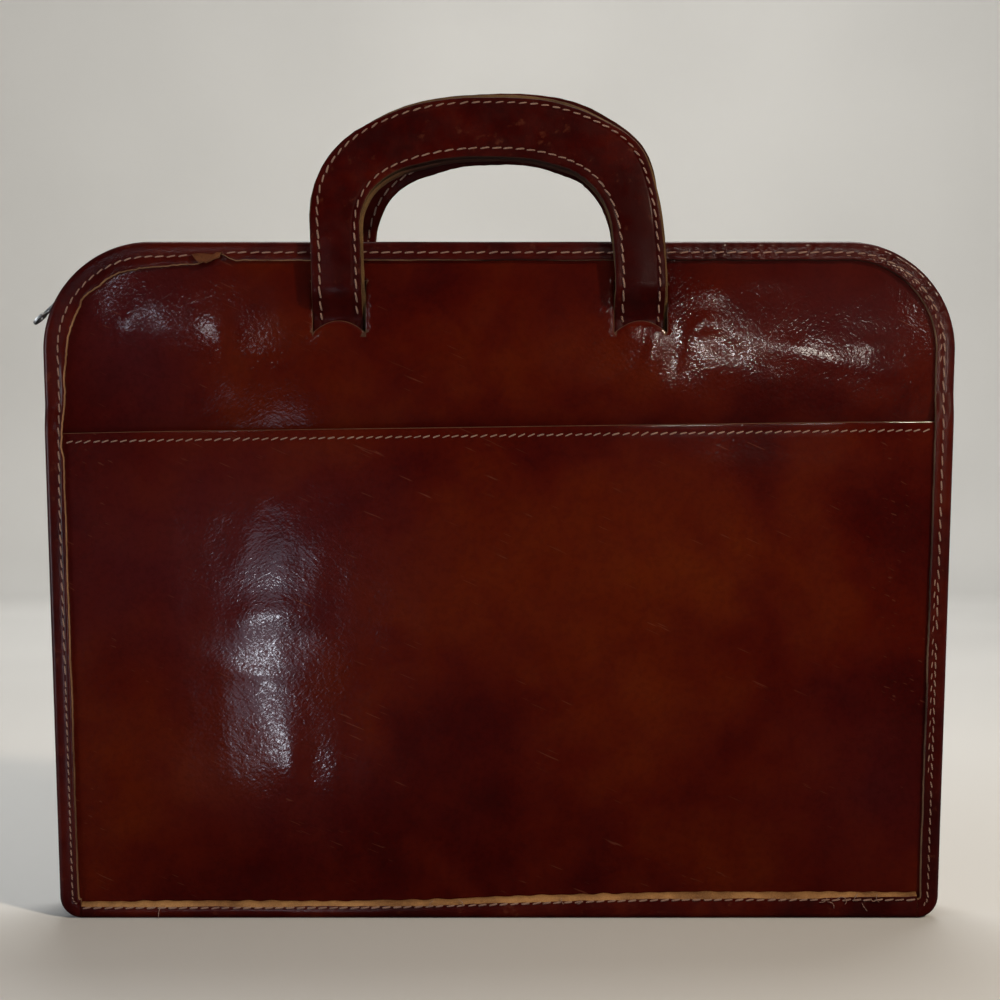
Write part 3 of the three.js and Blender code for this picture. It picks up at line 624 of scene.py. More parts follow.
panel_leather = polished_leather(
    "panel_leather_worn",
    # Painted warm light across the panel's upper middle
    painted_warm_light=[(60, 238, 95, 28, 0.13), (-60, 250, 60, 30, 0.05)],
    # Painted cool sheen at the panel's two upper corners
    painted_cool_sheen=[(-160, 260, 60, 60, 0.7), (150, 262, 60, 40, 0.5)],
    crackle=[
        (140, 247, 110, 50, 0.9),
        (85, 262, 60, 50, 0.5),
        (-120, 252, 34, 50, 0.6),
        (-165, 270, 30, 30, 0.5),
    ],
)
pocket_leather = polished_leather(
    "pocket_leather_worn",
    # Painted warm light on the pocket's middle and lower left
    painted_warm_light=[(60, 130, 150, 80, 0.22), (-120, 70, 90, 60, 0.1), (0, 185, 160, 30, 0.08)],
    # Painted cool sheen on the pocket's left side and lower right
    painted_cool_sheen=[(-120, 160, 110, 70, 0.75), (-100, 60, 60, 40, 0.4), (160, 60, 60, 60, 0.3)],
    crackle=[
        (-98, 135, 60, 60, 0.5),
        (-95, 70, 60, 60, 0.6),
        (-150, 165, 40, 40, 0.7),
        (-175, 60, 40, 80, 0.7),
    ],
)
# The rear leather has painted warm light in its middle
rear_leather = polished_leather("rear_leather_worn", painted_warm_light=[(0, 150, 160, 110, 0.12)], tone=0.02)
binding_leather = trim_leather("binding_leather_worn")
handle_leather = trim_leather("handle_leather_worn", tone=-0.04, gloss=0.08)
gusset_leather = trim_leather("gusset_leather_worn", tone=-0.08, gloss=0.2)
bright_cut = cut_leather("bright_cut_edge", (0.10, 0.036, 0.010), (0.42, 0.215, 0.078))
binding_cut = cut_leather(
    "binding_cut_edge", (0.12, 0.05, 0.02), (0.4, 0.225, 0.12),
    stains_and_shade=[
        (125, 290, 130, 40, 1.8),
        (0, 290, 90, 20, 1.2),
        (196, 130, 30, 190, 1.1),
        (-196, 30, 30, 120, 1.0),
    ],
)
flap_leather = cut_leather("flap_leather", (0.05, 0.012, 0.003), (0.17, 0.055, 0.015))
dull_cut = cut_leather("dull_cut_edge", (0.028, 0.009, 0.004), (0.12, 0.05, 0.024))
olive_cut = cut_leather(
    "olive_cut_edge", (0.036, 0.016, 0.005), (0.155, 0.082, 0.028),
    # Painted shade on the downward-facing edge under the top of the handles' arch
    stains_and_shade=[(-4, 331, 66, 26, 2.0)],
)
thread = thread_material("cream_thread", (0.33, 0.19, 0.13), (0.13, 0.055, 0.036))
bright_metal = metal_material("worn_nickel", (0.86, 0.84, 0.79))
zip_cloth = tape_material("zip_cloth")


# Mesh making


def linked(name, data):
    obj = bpy.data.objects.new(name, data)
    bpy.context.scene.collection.objects.link(obj)
    return obj


def ring_faces(base, rings, sides, ends=True):
    """Faces through rings of vertices, from the vertex called base on, with two flat ends."""
    faces = []
    for q in range(rings - 1):
        low = base + q * sides
        for a in range(sides):
            b = (a + 1) % sides
            faces.append([low + a, low + b, low + sides + b, low + sides + a])
    last = base + (rings - 1) * sides
    if ends:
        faces += [list(range(base, base + sides))[::-1], list(range(last, last + sides))]
    return faces


def sheet_faces(rows, columns):
    """Faces of a sheet's front, back and rim, for points in rows, and the number in the rim."""
    r, c = np.meshgrid(np.arange(rows - 1), np.arange(columns - 1), indexing="ij")
    a = (r * columns + c).ravel()
    quads = np.column_stack([a, a + columns, a + columns + 1, a + 1])
    count = rows * columns
    border = [*range(columns), *[k * columns + columns - 1 for k in range(1, rows)]]
    border += [(rows - 1) * columns + k for k in range(columns - 2, -1, -1)]
    border += [k * columns for k in range(rows - 2, 0, -1)]
    rim = [[p, q, q + count, p + count] for p, q in zip(border, border[1:] + border[:1])]
    return quads.tolist() + (quads[:, ::-1] + count).tolist() + rim, len(rim)


def make(name, verts, faces, materials, body="case", slot=None, indices=None, replaces=(), sharp=()):
    """A smooth-shaded mesh piece from places in millimetres."""
    mesh = bpy.data.meshes.new(name)
    mesh.from_pydata((np.asarray(verts, float) * MM).tolist(), [], faces)
    for material in materials:
        mesh.materials.append(material)
    if indices is not None:
        mesh.polygons.foreach_set("material_index", np.asarray(indices, np.int32))
    mesh.polygons.foreach_set("use_smooth", [True] * len(mesh.polygons))
    mesh.validate()
    if len(sharp):
        wanted = {tuple(sorted(e)) for e in sharp}
        for edge in mesh.edges:
            if tuple(sorted(edge.vertices)) in wanted:
                edge.use_edge_sharp = True
    mesh.update()
    obj = linked(name, mesh)
    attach(obj, body)
    if replaces:
        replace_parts(obj, *replaces)


def loft(name, rings, materials, section_materials=None, sharp_points=(), **more):
    """A band through rings (an array of ring, point, xyz), capped at both ends.

    section_materials gives a material index for each edge of the section, and
    sharp_points the section's points along which the shading breaks.
    """
    rings = np.asarray(rings, float)
    count, points = rings.shape[:2]
    faces = ring_faces(0, count, points)
    per_edge = list(section_materials or [0] * points)
    indices = per_edge * (count - 1) + [max(per_edge)] * 2
    sharp = [(a, b) for end in faces[-2:] for a, b in zip(end, end[1:] + end[:1])]
    for k in sharp_points:
        sharp += [(q * points + k, (q + 1) * points + k) for q in range(count - 1)]
    # Turned the right way out, judged by the signed volume
    verts = rings.reshape(-1, 3)
    corner = [verts[[face[k] for face in faces]] for k in range(4)]
    volume = sum((corner[0] * np.cross(corner[k], corner[k + 1])).sum() for k in (1, 2))
    if volume < 0:
        faces = [f[::-1] for f in faces]
    make(name, verts, faces, materials, indices=indices, sharp=sharp, **more)


def swept(section, along):
    """Rings along the outline, for a section of (outward, y) pairs or a function of station."""
    x, z, nx, nz = stations(along)
    rings = []
    for k in range(len(along)):
        places = section(along[k], x[k], z[k]) if callable(section) else section
        out, y = np.asarray(places).T
        rings.append(np.column_stack([x[k] + nx[k] * out, y, z[k] + nz[k] * out]))
    return np.array(rings)


# A stitch's places along its length, and its width and lift there, in radii
STITCH_SHARES = np.array([0, 0.1, 0.3, 0.5, 0.7, 0.9, 1])
STITCH_SWELL = np.array([0.45, 0.85, 1, 1, 1, 0.85, 0.45])
STITCH_LIFT = np.array([-0.75, 0.05, 0.42, 0.5, 0.42, 0.05, -0.75])
STITCH_SPAN = 0.86
STITCH_FLATTEN = 0.85
THREAD_SIDES = 7


def thread_ring(centre, side, up, radius):
    """Places round a thread, from its centre and two directions across it."""
    angles = 2 * np.pi * np.arange(THREAD_SIDES) / THREAD_SIDES
    return [centre + (side * math.cos(a) + up * math.sin(a)) * radius for a in angles]


def stitch_run(name, place, length, pitch, width=0.78, slant=0.32, seed=1, start=1.5, skip=()):
    """Saddle stitches on a line. place(s) gives places, and normals, at lengths along it."""
    rng = np.random.default_rng(seed)
    count = int((length - 2 * start) // pitch)
    verts, faces = [], []
    for k in range(count):
        if any(low <= k / count <= high for low, high in skip):
            continue
        first = start + k * pitch + (1 - STITCH_SPAN) / 2 * pitch
        s = first + STITCH_SHARES * pitch * STITCH_SPAN
        s = s + rng.normal(0, 0.03) * pitch
        at, normal = place(s)
        along = unit(np.gradient(at, axis=0))
        across = unit(np.cross(normal, along))
        radius = width / 2 * rng.uniform(0.88, 1.1)
        lean = slant * (1 + rng.normal(0, 0.25))
        centre = at + normal * (STITCH_LIFT * radius)[:, None]
        centre = centre + across * ((STITCH_SHARES - 0.5) * 2 * lean)[:, None]
        faces += ring_faces(len(verts), len(s), THREAD_SIDES)
        for q, swell in enumerate(STITCH_SWELL):
            verts += thread_ring(centre[q], across[q], normal[q] * STITCH_FLATTEN, radius * swell)
    make(name, verts, faces, [thread])


def tube(points, radius):
    """Vertices of a round thread through points, thinner at its ends."""
    along = unit(np.gradient(points, axis=0))
    side = unit(np.cross(along, [0.3, 1, 0.2]))
    up = np.cross(along, side)
    verts = []
    for q in range(len(points)):
        size = radius * (0.55 if q in (0, len(points) - 1) else 1)
        verts += thread_ring(points[q], side[q], up[q], size)
    return verts


def facing(side, s):
    """Normals towards the front or the rear, one for each length in s."""
    return np.tile([0.0, side, 0], (len(s), 1))


def inside_polygon(points, polygon):
    """Which points (x, z) lie inside a closed polygon."""
    x, z = points[:, 0], points[:, 1]
    hit = np.zeros(len(points), bool)
    for (x0, z0), (x1, z1) in zip(polygon, np.roll(polygon, -1, axis=0)):
        crosses = (z0 > z) != (z1 > z)
        with np.errstate(divide="ignore", invalid="ignore"):
            hit ^= crosses & (x < (x1 - x0) * (z - z0) / (z1 - z0) + x0)
    return hit


def distance_to(points, polygon):
    """Distance from points (x, z) to a closed polygon's edges."""
    best = np.full(len(points), 1e9)
    for a, b in zip(polygon, np.roll(polygon, -1, axis=0)):
        t = np.clip(((points - a) @ (b - a)) / max((b - a) @ (b - a), 1e-9), 0, 1)
        best = np.minimum(best, np.linalg.norm(points - (a + t[:, None] * (b - a)), axis=1))
    return best


# Handles, as in the frame's source

slit_foot = CASE_HEIGHT - SLIT_DEPTH
slit_crown = slit_foot + SLIT_RISE
leg_offset = (HANDLE_SPAN - HANDLE_LEG_WIDTH) / 2
handle_outside = PANEL_SEAT + GAP + BINDING_THICKNESS + HANDLE_CLEARANCE + handle_thickness / 2
SIDES = {
    "front": dict(
        side=FRONT, outer=front_panel_outer, broad=front_panel_broad, x=-4, sway=-1.5, lift=0,
    ),
    "rear": dict(side=REAR, outer=rear_panel_outer, broad=rear_panel_broad, x=-2, sway=0, lift=2.5),
}


def handle_inside(where, x, z):
    """Middle of the handle behind the panel. The fine creases don't reach it."""
    return where["broad"](x, z) - PANEL_THICKNESS - 2 * GAP - handle_thickness / 2


def crossing_height(where):
    return (handle_outside - handle_inside(where, where["x"] + leg_offset, slit_crown)) / CROSSING_SLOPE


def slit_top(where):
    return slit_crown + crossing_height(where) + handle_thickness / 2


def handle_depth(where, x, z):
    through = smooth((z - slit_crown) / crossing_height(where))
    leaning = smooth((z - CASE_HEIGHT - ARCH_INNER_START) / HANDLE_RISE)
    inside = handle_inside(where, x, np.minimum(z, slit_top(where)))
    return mix(mix(inside, handle_outside, through), HANDLE_MEET, leaning)


def handle_pairs():
    """Outer and inner places of a handle, from one tail over the arch to the other."""
    outer_half, inner_half = HANDLE_SPAN / 2, HANDLE_SPAN / 2 - HANDLE_LEG_WIDTH
    legs = np.arange(slit_foot - TAIL_LENGTH, CASE_HEIGHT + ARCH_INNER_START, 1.6)
    outer = [(outer_half, z) for z in legs]
    inner = [(inner_half, z) for z in legs]
    outer_start, inner_start = CASE_HEIGHT + ARCH_OUTER_START, CASE_HEIGHT + ARCH_INNER_START
    outer_rise = CASE_HEIGHT + HANDLE_RISE - outer_start
    inner_rise = CASE_HEIGHT + HANDLE_RISE - HANDLE_TOP_WIDTH - inner_start
    power = 2 / ARCH_EXPONENT
    for angle in np.linspace(0, np.pi / 2, 46):
        across, up = max(0, math.cos(angle)) ** power, math.sin(angle) ** power
        outer.append((outer_half * across, outer_start + outer_rise * up))
        inner.append((inner_half * across, inner_start + inner_rise * up))
    outer, inner = np.array(outer), np.array(inner)
    flip = [-1, 1]
    return np.vstack([outer, outer[-2::-1] * flip]), np.vstack([inner, inner[-2::-1] * flip])


HANDLE_OUTER, HANDLE_INNER = handle_pairs()
SEAM_INSET = 3.6
HANDLE_SINK = 0.24

# Eased edge and seam groove of a handle layer: distance from its edge and drop below its face
HANDLE_PROFILE = [
    (0, 0.55),
    (0.12, 0.2),
    (0.45, 0.03),
    (1.2, 0),
    (2.6, 0),
    (3.2, 0.16),
    (3.6, 0.3),
    (4.0, 0.16),
    (4.7, 0),
]


def worn_shape(where, flat):
    """The handle's outline as worn: fuller at the top, with its right shoulder pushed out."""
    x, z = flat[:, 0], flat[:, 1]
    above = smooth((z - slit_top(where)) / SLIT_DEPTH)
    x = x + where["sway"] * above - 1.3 * above * smooth((flat[:, 0] - 20) / 40)
    x = x + 3.4 * smooth((flat[:, 0] + 40) / 60) * smooth((z - 318) / 26)
    middle = 1 - smooth((np.abs(flat[:, 0]) - 22) / 34)
    z = z + 0.13 * (z - 346.5) * middle * smooth((z - 315) / 15)
    return x, z + where["lift"] * smooth((z - 300) / 40)


def handle_place(where, flat, offset):
    """Places on a handle: flat is (x, z) in its own outline, offset along its normal."""
    x, z = worn_shape(where, flat)
    x = where["x"] + x
    slope = handle_depth(where, x, z + 0.5) - handle_depth(where, x, z - 0.5)
    size = np.hypot(1, slope)
    y = handle_depth(where, x, z) + offset / size
    return np.column_stack([x, where["side"] * y, z - offset * slope / size])


def handle_normal(where, flat, way):
    """Directions straight out of one face of a handle."""
    x = where["x"] + flat[:, 0]
    slope = handle_depth(where, x, flat[:, 1] + 0.5) - handle_depth(where, x, flat[:, 1] - 0.5)
    size = np.hypot(1, slope)
    return way * np.column_stack([np.zeros(len(flat)), where["side"] / size, -slope / size])


def handle_layer(name, where, way, replaced):
    """One leather layer, with eased edges and a groove along each seam."""
    near = way * HANDLE_SEAM / 2
    far = near + way * HANDLE_LAYER
    width = np.linalg.norm(HANDLE_OUTER - HANDLE_INNER, axis=1)
    profile = [("in", inset, far - way * drop) for inset, drop in HANDLE_PROFILE]
    profile += [("mid", 0.5, far + way * 0.12)]
    profile += [("out", inset, far - way * drop) for inset, drop in HANDLE_PROFILE[::-1]]
    profile += [("out", 0, near + way * 0.2), ("out", 0.25, near)]
    profile += [("in", 0.25, near), ("in", 0, near + way * 0.2)]
    rings = []
    length = lengths_along(HANDLE_OUTER)
    across = HANDLE_OUTER - HANDLE_INNER
    rightward = across[:, 0] / width
    upward = across[:, 1] / width
    # The face is narrower on each leg's right and along the top, where the backing shows
    tuck = 1.2 if way == 1 else 0
    tuck_in = tuck * np.clip(-rightward, 0, 1)
    tuck_out = tuck * np.clip(np.maximum(rightward, 1.25 * upward), 0, 1.25)
    wobble = 0.16 * ripple(length, 0 * length, 13, 20 + way)
    wobble = wobble + 0.07 * ripple(length, 0 * length, 3, 30 + way)
    for kind, amount, offset in profile:
        if kind == "mid":
            share = np.full(len(width), amount)
        elif kind == "in":
            share = (amount + tuck_in + (wobble if amount < 0.5 else 0)) / width
        else:
            share = 1 - (amount + tuck_out + (wobble[::-1] if amount < 0.5 else 0)) / width
        rings.append(handle_place(where, HANDLE_INNER + across * share[:, None], offset))
    rings = np.transpose(np.array(rings), (1, 0, 2))
    n = len(HANDLE_PROFILE)
    materials = [1] + [0] * (2 * n - 2) + [1] * (rings.shape[1] - 2 * n + 1)
    loft(
        name, rings, [handle_leather, olive_cut], section_materials=materials,
        sharp_points=(0, 2 * n), slot="handle_leather", replaces=[replaced],
    )


def handle_seams(name, where, way, seed):
    """Two rows of stitches on one face of a handle, from slit to slit."""
    face = way * (HANDLE_SEAM / 2 + HANDLE_LAYER - HANDLE_SINK)
    shown = slit_foot + 0.5 * SLIT_RISE + 0.6 if way > 0 else slit_top(where) - 4
    for row, edge, other in (("edge", HANDLE_OUTER, HANDLE_INNER), ("grip", HANDLE_INNER, HANDLE_OUTER)):
        width = np.linalg.norm(other - edge, axis=1)
        line = edge + (other - edge) * (SEAM_INSET / width)[:, None]
        line = line[line[:, 1] > shown]
        lengths = lengths_along(line)

        def place(s, line=line, lengths=lengths):
            flat = np.column_stack([np.interp(s, lengths, line[:, k]) for k in range(2)])
            return handle_place(where, flat, face), handle_normal(where, flat, way)

        stitch_run(f"{name}_{row}", place, lengths[-1], 4.9, seed=seed, start=0.4)
        seed += 1


for key, where in SIDES.items():
    handle_layer(f"{key}_handle_face", where, 1, f"{key}_handle_outer")
    handle_layer(f"{key}_handle_backing", where, -1, f"{key}_handle_inner")
    handle_seams(f"{key}_handle_stitches", where, 1, 40 if key == "front" else 60)
    handle_seams(f"{key}_handle_back_stitches", where, -1, 50 if key == "front" else 70)


# Panels with their slits


def slit_outline(where, x):
    """The opening for a leg: an arch at its foot, and straight sides as far as the leg needs."""
    half = HANDLE_LEG_WIDTH / 2 + SLIT_CLEARANCE
    share = np.linspace(-1, 1, 25)
    arch = np.column_stack([x + share * half, slit_foot + SLIT_RISE * (1 - share**2)])
    sides_up = np.linspace(slit_foot, slit_top(where), 12)[1:]
    right = np.column_stack([np.full(11, x + half), sides_up])
    top = np.column_stack([np.linspace(x + half, x - half, 14)[1:], np.full(13, sides_up[-1])])
    left = np.column_stack([np.full(11, x - half), sides_up[::-1]])[1:]
    return np.vstack([arch, right, top, left])


def panel_border(inset, step):
    """The panel's outline, inset inside the silhouette."""
    along = steps_between(GUSSET_TUCK, OUTLINE_LENGTH - GUSSET_TUCK, step)
    x, z, nx, nz = stations(along)
    border = np.column_stack([x - inset * nx, z - inset * nz])
    border = border[border[:, 1] > panel_foot + 0.4]
    foot_x = float(edge_x(panel_foot, inset))
    base = np.linspace(foot_x, -foot_x, round(2 * foot_x / step))
    return np.vstack([border, np.column_stack([base, np.full(len(base), panel_foot)])])


LIP = 0.3


def widened(loop, amount):
    """A closed loop, moved outward by an amount."""
    ahead = np.roll(loop, -1, axis=0) - np.roll(loop, 1, axis=0)
    return loop + unit(np.column_stack([ahead[:, 1], -ahead[:, 0]])) * amount


def leather_panel(name, where, spacing, material, replaced):
    """A panel with its slits, meshed at a spacing that is four times wider behind the pocket."""
    border = panel_border(edge_inset, spacing)
    slits = [slit_outline(where, where["x"] + hand * leg_offset) for hand in (-1, 1)]
    rows = []
    height = panel_foot + spacing * 0.7
    shift = 0
    while height < CASE_HEIGHT:
        hidden = where["side"] == FRONT and height < MOUTH_LEFT - 12
        step = spacing * (4 if hidden else 1)
        across = np.arange(-TOP_WIDTH / 2 + shift * step / 2, TOP_WIDTH / 2, step)
        rows.append(np.column_stack([across, np.full(len(across), height)]))
        height += step * 0.87
        shift = 1 - shift
    grid = np.vstack(rows)
    keep = inside_polygon(grid, border) & (distance_to(grid, border) > spacing * 0.55)
    for slit in slits:
        keep &= ~inside_polygon(grid, slit) & (distance_to(grid, slit) > spacing * 0.35)
    lips = [widened(slit, LIP) for slit in slits]
    for lip in lips:
        keep &= distance_to(grid, lip) > 0.6
    grid = np.vstack([grid[keep], *lips])
    loops = [border, *slits]
    points, edges = [], []
    for loop in loops:
        base = len(points)
        points += [tuple(p) for p in loop]
        edges += [(base + k, base + (k + 1) % len(loop)) for k in range(len(loop))]
    points += [tuple(p) for p in grid]
    flat, _, faces, *_ = delaunay_2d_cdt([Vector(p) for p in points], edges, [], 1, 1e-4, False)
    flat = np.array([tuple(p) for p in flat])
    faces = np.array([list(f) for f in faces])
    middle = flat[faces].mean(axis=1)
    for slit in slits:
        out = ~inside_polygon(middle, slit)
        faces, middle = faces[out], middle[out]
    outer = where["outer"](flat[:, 0], flat[:, 1])
    # The lip of each slit is pressed out a little by the leg that passes behind it
    for hand in (-1, 1):
        dx = (flat[:, 0] - where["x"] - hand * leg_offset) / 14
        dz = (flat[:, 1] - slit_foot) / 7
        outer = outer + 0.5 * np.exp(-(dx**4) - dz**2) * (flat[:, 1] < slit_crown + 1)
    inner = outer - PANEL_THICKNESS
    near_slit = np.minimum(distance_to(flat, slits[0]), distance_to(flat, slits[1]))
    outer = outer - 0.45 * np.clip(1 - near_slit / LIP, 0, 1)
    side = where["side"]
    face = np.column_stack([flat[:, 0], side * outer, flat[:, 1]])
    back = np.column_stack([flat[:, 0], side * inner, flat[:, 1]])
    count = len(flat)
    # Delaunay triangles run anticlockwise in (x, z), which faces -Y
    front_faces = faces if side == FRONT else faces[:, ::-1]
    all_faces = front_faces.tolist() + (front_faces[:, ::-1] + count).tolist()
    indices = [int(v) for v in near_slit[front_faces].min(axis=1) < 0.01] + [0] * len(front_faces)
    used = {}
    for tri in front_faces:
        for a, b in ((tri[0], tri[1]), (tri[1], tri[2]), (tri[2], tri[0])):
            used[(a, b)] = used.get((a, b), 0) + 1
    sharp = []
    for a, b in used:
        if (b, a) not in used:
            all_faces.append([int(b), int(a), int(a) + count, int(b) + count])
            indices.append(1)
            sharp += [(int(a), int(b)), (int(a) + count, int(b) + count)]
    make(
        name, np.vstack([face, back]), all_faces, [material, dull_cut], indices=indices,
        sharp=sharp, slot="panel_leather", replaces=[replaced],
    )


leather_panel("front_panel_leather", SIDES["front"], 2.6, panel_leather, "front_panel")
leather_panel("rear_panel_leather", SIDES["rear"], 3.6, rear_leather, "rear_panel")


# Slip pocket


# Depths below the mouth of the rows of points across the hem
HEM_ROWS = [0, 0.12, 0.35, 0.65, 0.95, 1.6, 2.4, 3.0, 3.5, 4.0, 4.5, 5.0]
HEM_ROWS += [5.8, 6.6, 7.4, 8.0, 8.5, 9.0, 9.7, 11]
HEM_SINK = 0.05


def pocket():
    """The pocket's leather, in rows that follow its slanting mouth."""
    below = np.concatenate([HEM_ROWS, steps_between(13, mouth_height(0) - panel_foot, 2.6)])
    u, t = np.meshgrid(np.linspace(-1, 1, 151), 1 - below / below[-1])
    x = u * (BASE_WIDTH / 2)
    for _ in range(4):
        z = mix(panel_foot, mouth_height(x), t)
        x = u * edge_x(z, edge_inset)
    depth_below = mouth_height(x) - z
    fade = smooth((edge_x(z, 0) - np.abs(x) - BINDING_FACE) / 1.5) * 0.85 + 0.15
    sag = mouth_sag(x, z, depth_below)
    outer = pocket_outer(x, z) + hem_relief(depth_below) * fade + sag
    inner = pocket_outer(x, z) - POCKET_THICKNESS + 0.5 * corner_drop(depth_below / 0.9) + sag
    verts = [np.stack([x, -y, z], -1).reshape(-1, 3) for y in (outer, inner)]
    faces, rim = sheet_faces(*x.shape)
    lip = 2 * (x.shape[1] - 1)
    make(
        "front_pocket_leather", np.vstack(verts), faces, [pocket_leather, dull_cut],
        indices=[1] * lip + [0] * (len(faces) - lip - rim) + [1] * rim,
        slot="pocket_leather", replaces=["front_pocket"],
    )


def hem_place(s):
    x = -edge_x(MOUTH_LEFT, BINDING_FACE) + s
    z = mouth_height(x) - HEM_SEAM
    outer = pocket_outer(x, z) - HEM_SINK + mouth_sag(x, z, HEM_SEAM)
    return np.column_stack([x, -outer, z]), facing(FRONT, s)


pocket()
hem_length = float(2 * edge_x(MOUTH_LEFT, BINDING_FACE))
stitch_run("pocket_hem_stitches", hem_place, hem_length, 4.1, seed=5, slant=0.5, width=0.66, start=0.6)


# Bindings

BINDING_SEAM = 5.0


def front_seat(x, z):
    return mix(pocket_seat, PANEL_SEAT, smooth((z - mouth_height(x)) / MOUTH_STEP))


# The front binding's torn inner edge on the upper left: places x and z
TORN_EDGE = [
    (-190.6, 200), (-190.0, 216), (-189.4, 228), (-189.7, 236), (-188.7, 245),
    (-187.5, 254.4), (-186.1, 259.1), (-184.3, 263.6), (-182.4, 266.8), (-182.0, 269.5),
    (-177.0, 273.7), (-174.6, 275.0), (-171.4, 277.8), (-166.0, 281.0), (-158.6, 282.4),
    (-149.5, 283.6), (-138.5, 284.5), (-131.5, 284.9), (-127.0, 287.5), (-122.4, 290.2),
    (-118.4, 287.8), (-114.1, 285.9),
]


def measured_from_outline(places):
    """Length along the outline and distance inside it, for places (x, z)."""
    along = np.arange(0, OUTLINE_LENGTH, 0.25)
    x, z, _, _ = stations(along)
    rows = []
    for px, pz in places:
        gap = np.hypot(x - px, z - pz)
        rows.append((along[gap.argmin()], gap.min()))
    return np.array(rows)


TORN = measured_from_outline(TORN_EDGE)


def torn_share(along):
    return smooth((along - TORN[0, 0]) / 6) * (1 - smooth((along - TORN[-1, 0] + 2) / 4))


def seam_inset(side, along):
    """Distance of the binding's seam from the outline. The front's left side is sewn further in."""
    if side == REAR:
        return BINDING_SEAM + 0 * along
    left = 1 - smooth((along - TORN[-1, 0] + 34) / 34)
    return BINDING_SEAM + left * (0.9 + 0.9 * smooth((along - along_at_height(170)) / 60))


# Stretch of the front's top edge that was sewn twice and is puckered
PUCKER_START, PUCKER_END = 64, 200
PUCKER_PITCH = 5.2
BINDING_SINK = 0.28


def binding_wave(side, along):
    return 0.1 * ripple(along, 0, 30, 102 if side == FRONT else 122)


def settled_recess(z):
    """Recess of the edge walls under the bindings, which is less near the base."""
    return mix(BASE_THICKNESS + GAP, RECESS, float(smooth(z / (2 * BASE_CORNER_RADIUS))))


def binding_section(side, along, x, z):
    """The folded binding's section, as pairs of distance outward from the outline and y."""
    t = BINDING_THICKNESS
    seat = float(front_seat(x, z)) if side == FRONT else PANEL_SEAT
    inner = seat + GAP
    outer = inner + t
    seed = 100 if side == FRONT else 120
    edge = 0.12 * ripple(along, 0, 9, seed) + 0.06 * ripple(along, 0, 2.2, seed + 1)
    seam = float(seam_inset(side, along))
    low = -BINDING_FACE + edge
    lift = pucker = 0.0
    if side == FRONT:
        torn = float(torn_share(along))
        frayed = -np.interp(along, TORN[:, 0], TORN[:, 1]) + 0.14 * ripple(along, 0, 1.3, 141)
        low = mix(low, float(frayed), torn)
        lift = torn * (0.45 + 0.2 * ripple(along, 0, 8, 142))
        right = along - OUTLINE_LENGTH / 2
        near = float(smooth((right - PUCKER_START) / 12) * (1 - smooth((right - PUCKER_END) / 30)))
        pucker = (0.02 + 0.42 * near) * math.sin(2 * math.pi * along / PUCKER_PITCH)
        pucker += 0.24 * near * ripple(along, 0, PUCKER_PITCH / 2, 143)
    low = min(low, -seam - 0.4)
    face = outer + binding_wave(side, along)
    brim = mix(low, -seam, 0.45)
    out = [
        (low, inner + lift * 0.6),
        (low + 0.05, face - 0.5 + lift),
        (low + 0.3, face - 0.12 + lift),
        (low + 0.5, face + lift * 0.9),
        (brim, face + lift * 0.5 + pucker),
        (mix(brim, -seam, 0.5), face + 0.02 + 0.6 * pucker),
        (-seam - 0.6, face - 0.08),
        (-seam, face - 0.2),
        (-seam + 0.7, face - 0.08),
        (-seam + 1.1, face + 0.5 * pucker),
    ]
    for angle in np.linspace(math.pi / 2, 0, 7):
        swell = 0.5 * pucker * max(0, math.sin(angle)) ** 2
        y = face + swell - BINDING_ROUND * (1 - math.sin(angle))
        out.append((BINDING_ROUND * (math.cos(angle) - 1), y))
    out += [(0.05, mix(face, valley_half, 0.55)), (0, valley_half + 1)]
    out += [(-0.3, valley_half + 0.3), (-1, valley_half)]
    recess = settled_recess(z)
    out += [(GAP - recess, valley_half), (GAP - recess, flange_inner), (-t, flange_inner), (-t, inner)]
    return [(o, side * y) for o, y in out]


def binding(name, side, replaced):
    along = steps_between(GUSSET_TUCK, OUTLINE_LENGTH - GUSSET_TUCK, 1.5)
    rings = swept(lambda a, x, z: binding_section(side, a, x, z), along)
    cut = [1, 1] + [0] * (rings.shape[1] - 3) + [1]
    loft(
        name, rings, [binding_leather, binding_cut], section_materials=cut, sharp_points=(0, 1),
        slot="trim_leather", replaces=[replaced],
    )


def binding_seam(name, side, inset, start, end, seed, slant=0.3, width=0.72, pitch=5.1, skip=()):
    """Stitches between two lengths along the outline, inset inside the binding's own seam."""

    def place(s):
        x, z, nx, nz = stations(start + s)
        seat = front_seat(x, z) if side == FRONT else np.full(len(s), float(PANEL_SEAT))
        y = seat + GAP + BINDING_THICKNESS - BINDING_SINK
        y = y + np.array([binding_wave(side, start + v) for v in s])
        inward = seam_inset(side, start + s) + inset
        at = np.column_stack([x - inward * nx, side * y, z - inward * nz])
        return at, facing(side, s)

    skip = [((low - start) / (end - start), (high - start) / (end - start)) for low, high in skip]
    stitch_run(name, place, end - start, pitch, seed=seed, slant=slant, width=width, skip=skip)


seam_start, seam_end = GUSSET_TUCK + 4, OUTLINE_LENGTH - GUSSET_TUCK - 4
lost = measured_from_outline([(-135, CASE_HEIGHT), (-119, CASE_HEIGHT)])[:, 0]
for key, side in (("front", FRONT), ("rear", REAR)):
    binding(f"{key}_binding_leather", side, f"{key}_binding")
binding_seam("rear_binding_stitches", REAR, 0, seam_start, seam_end, 12)
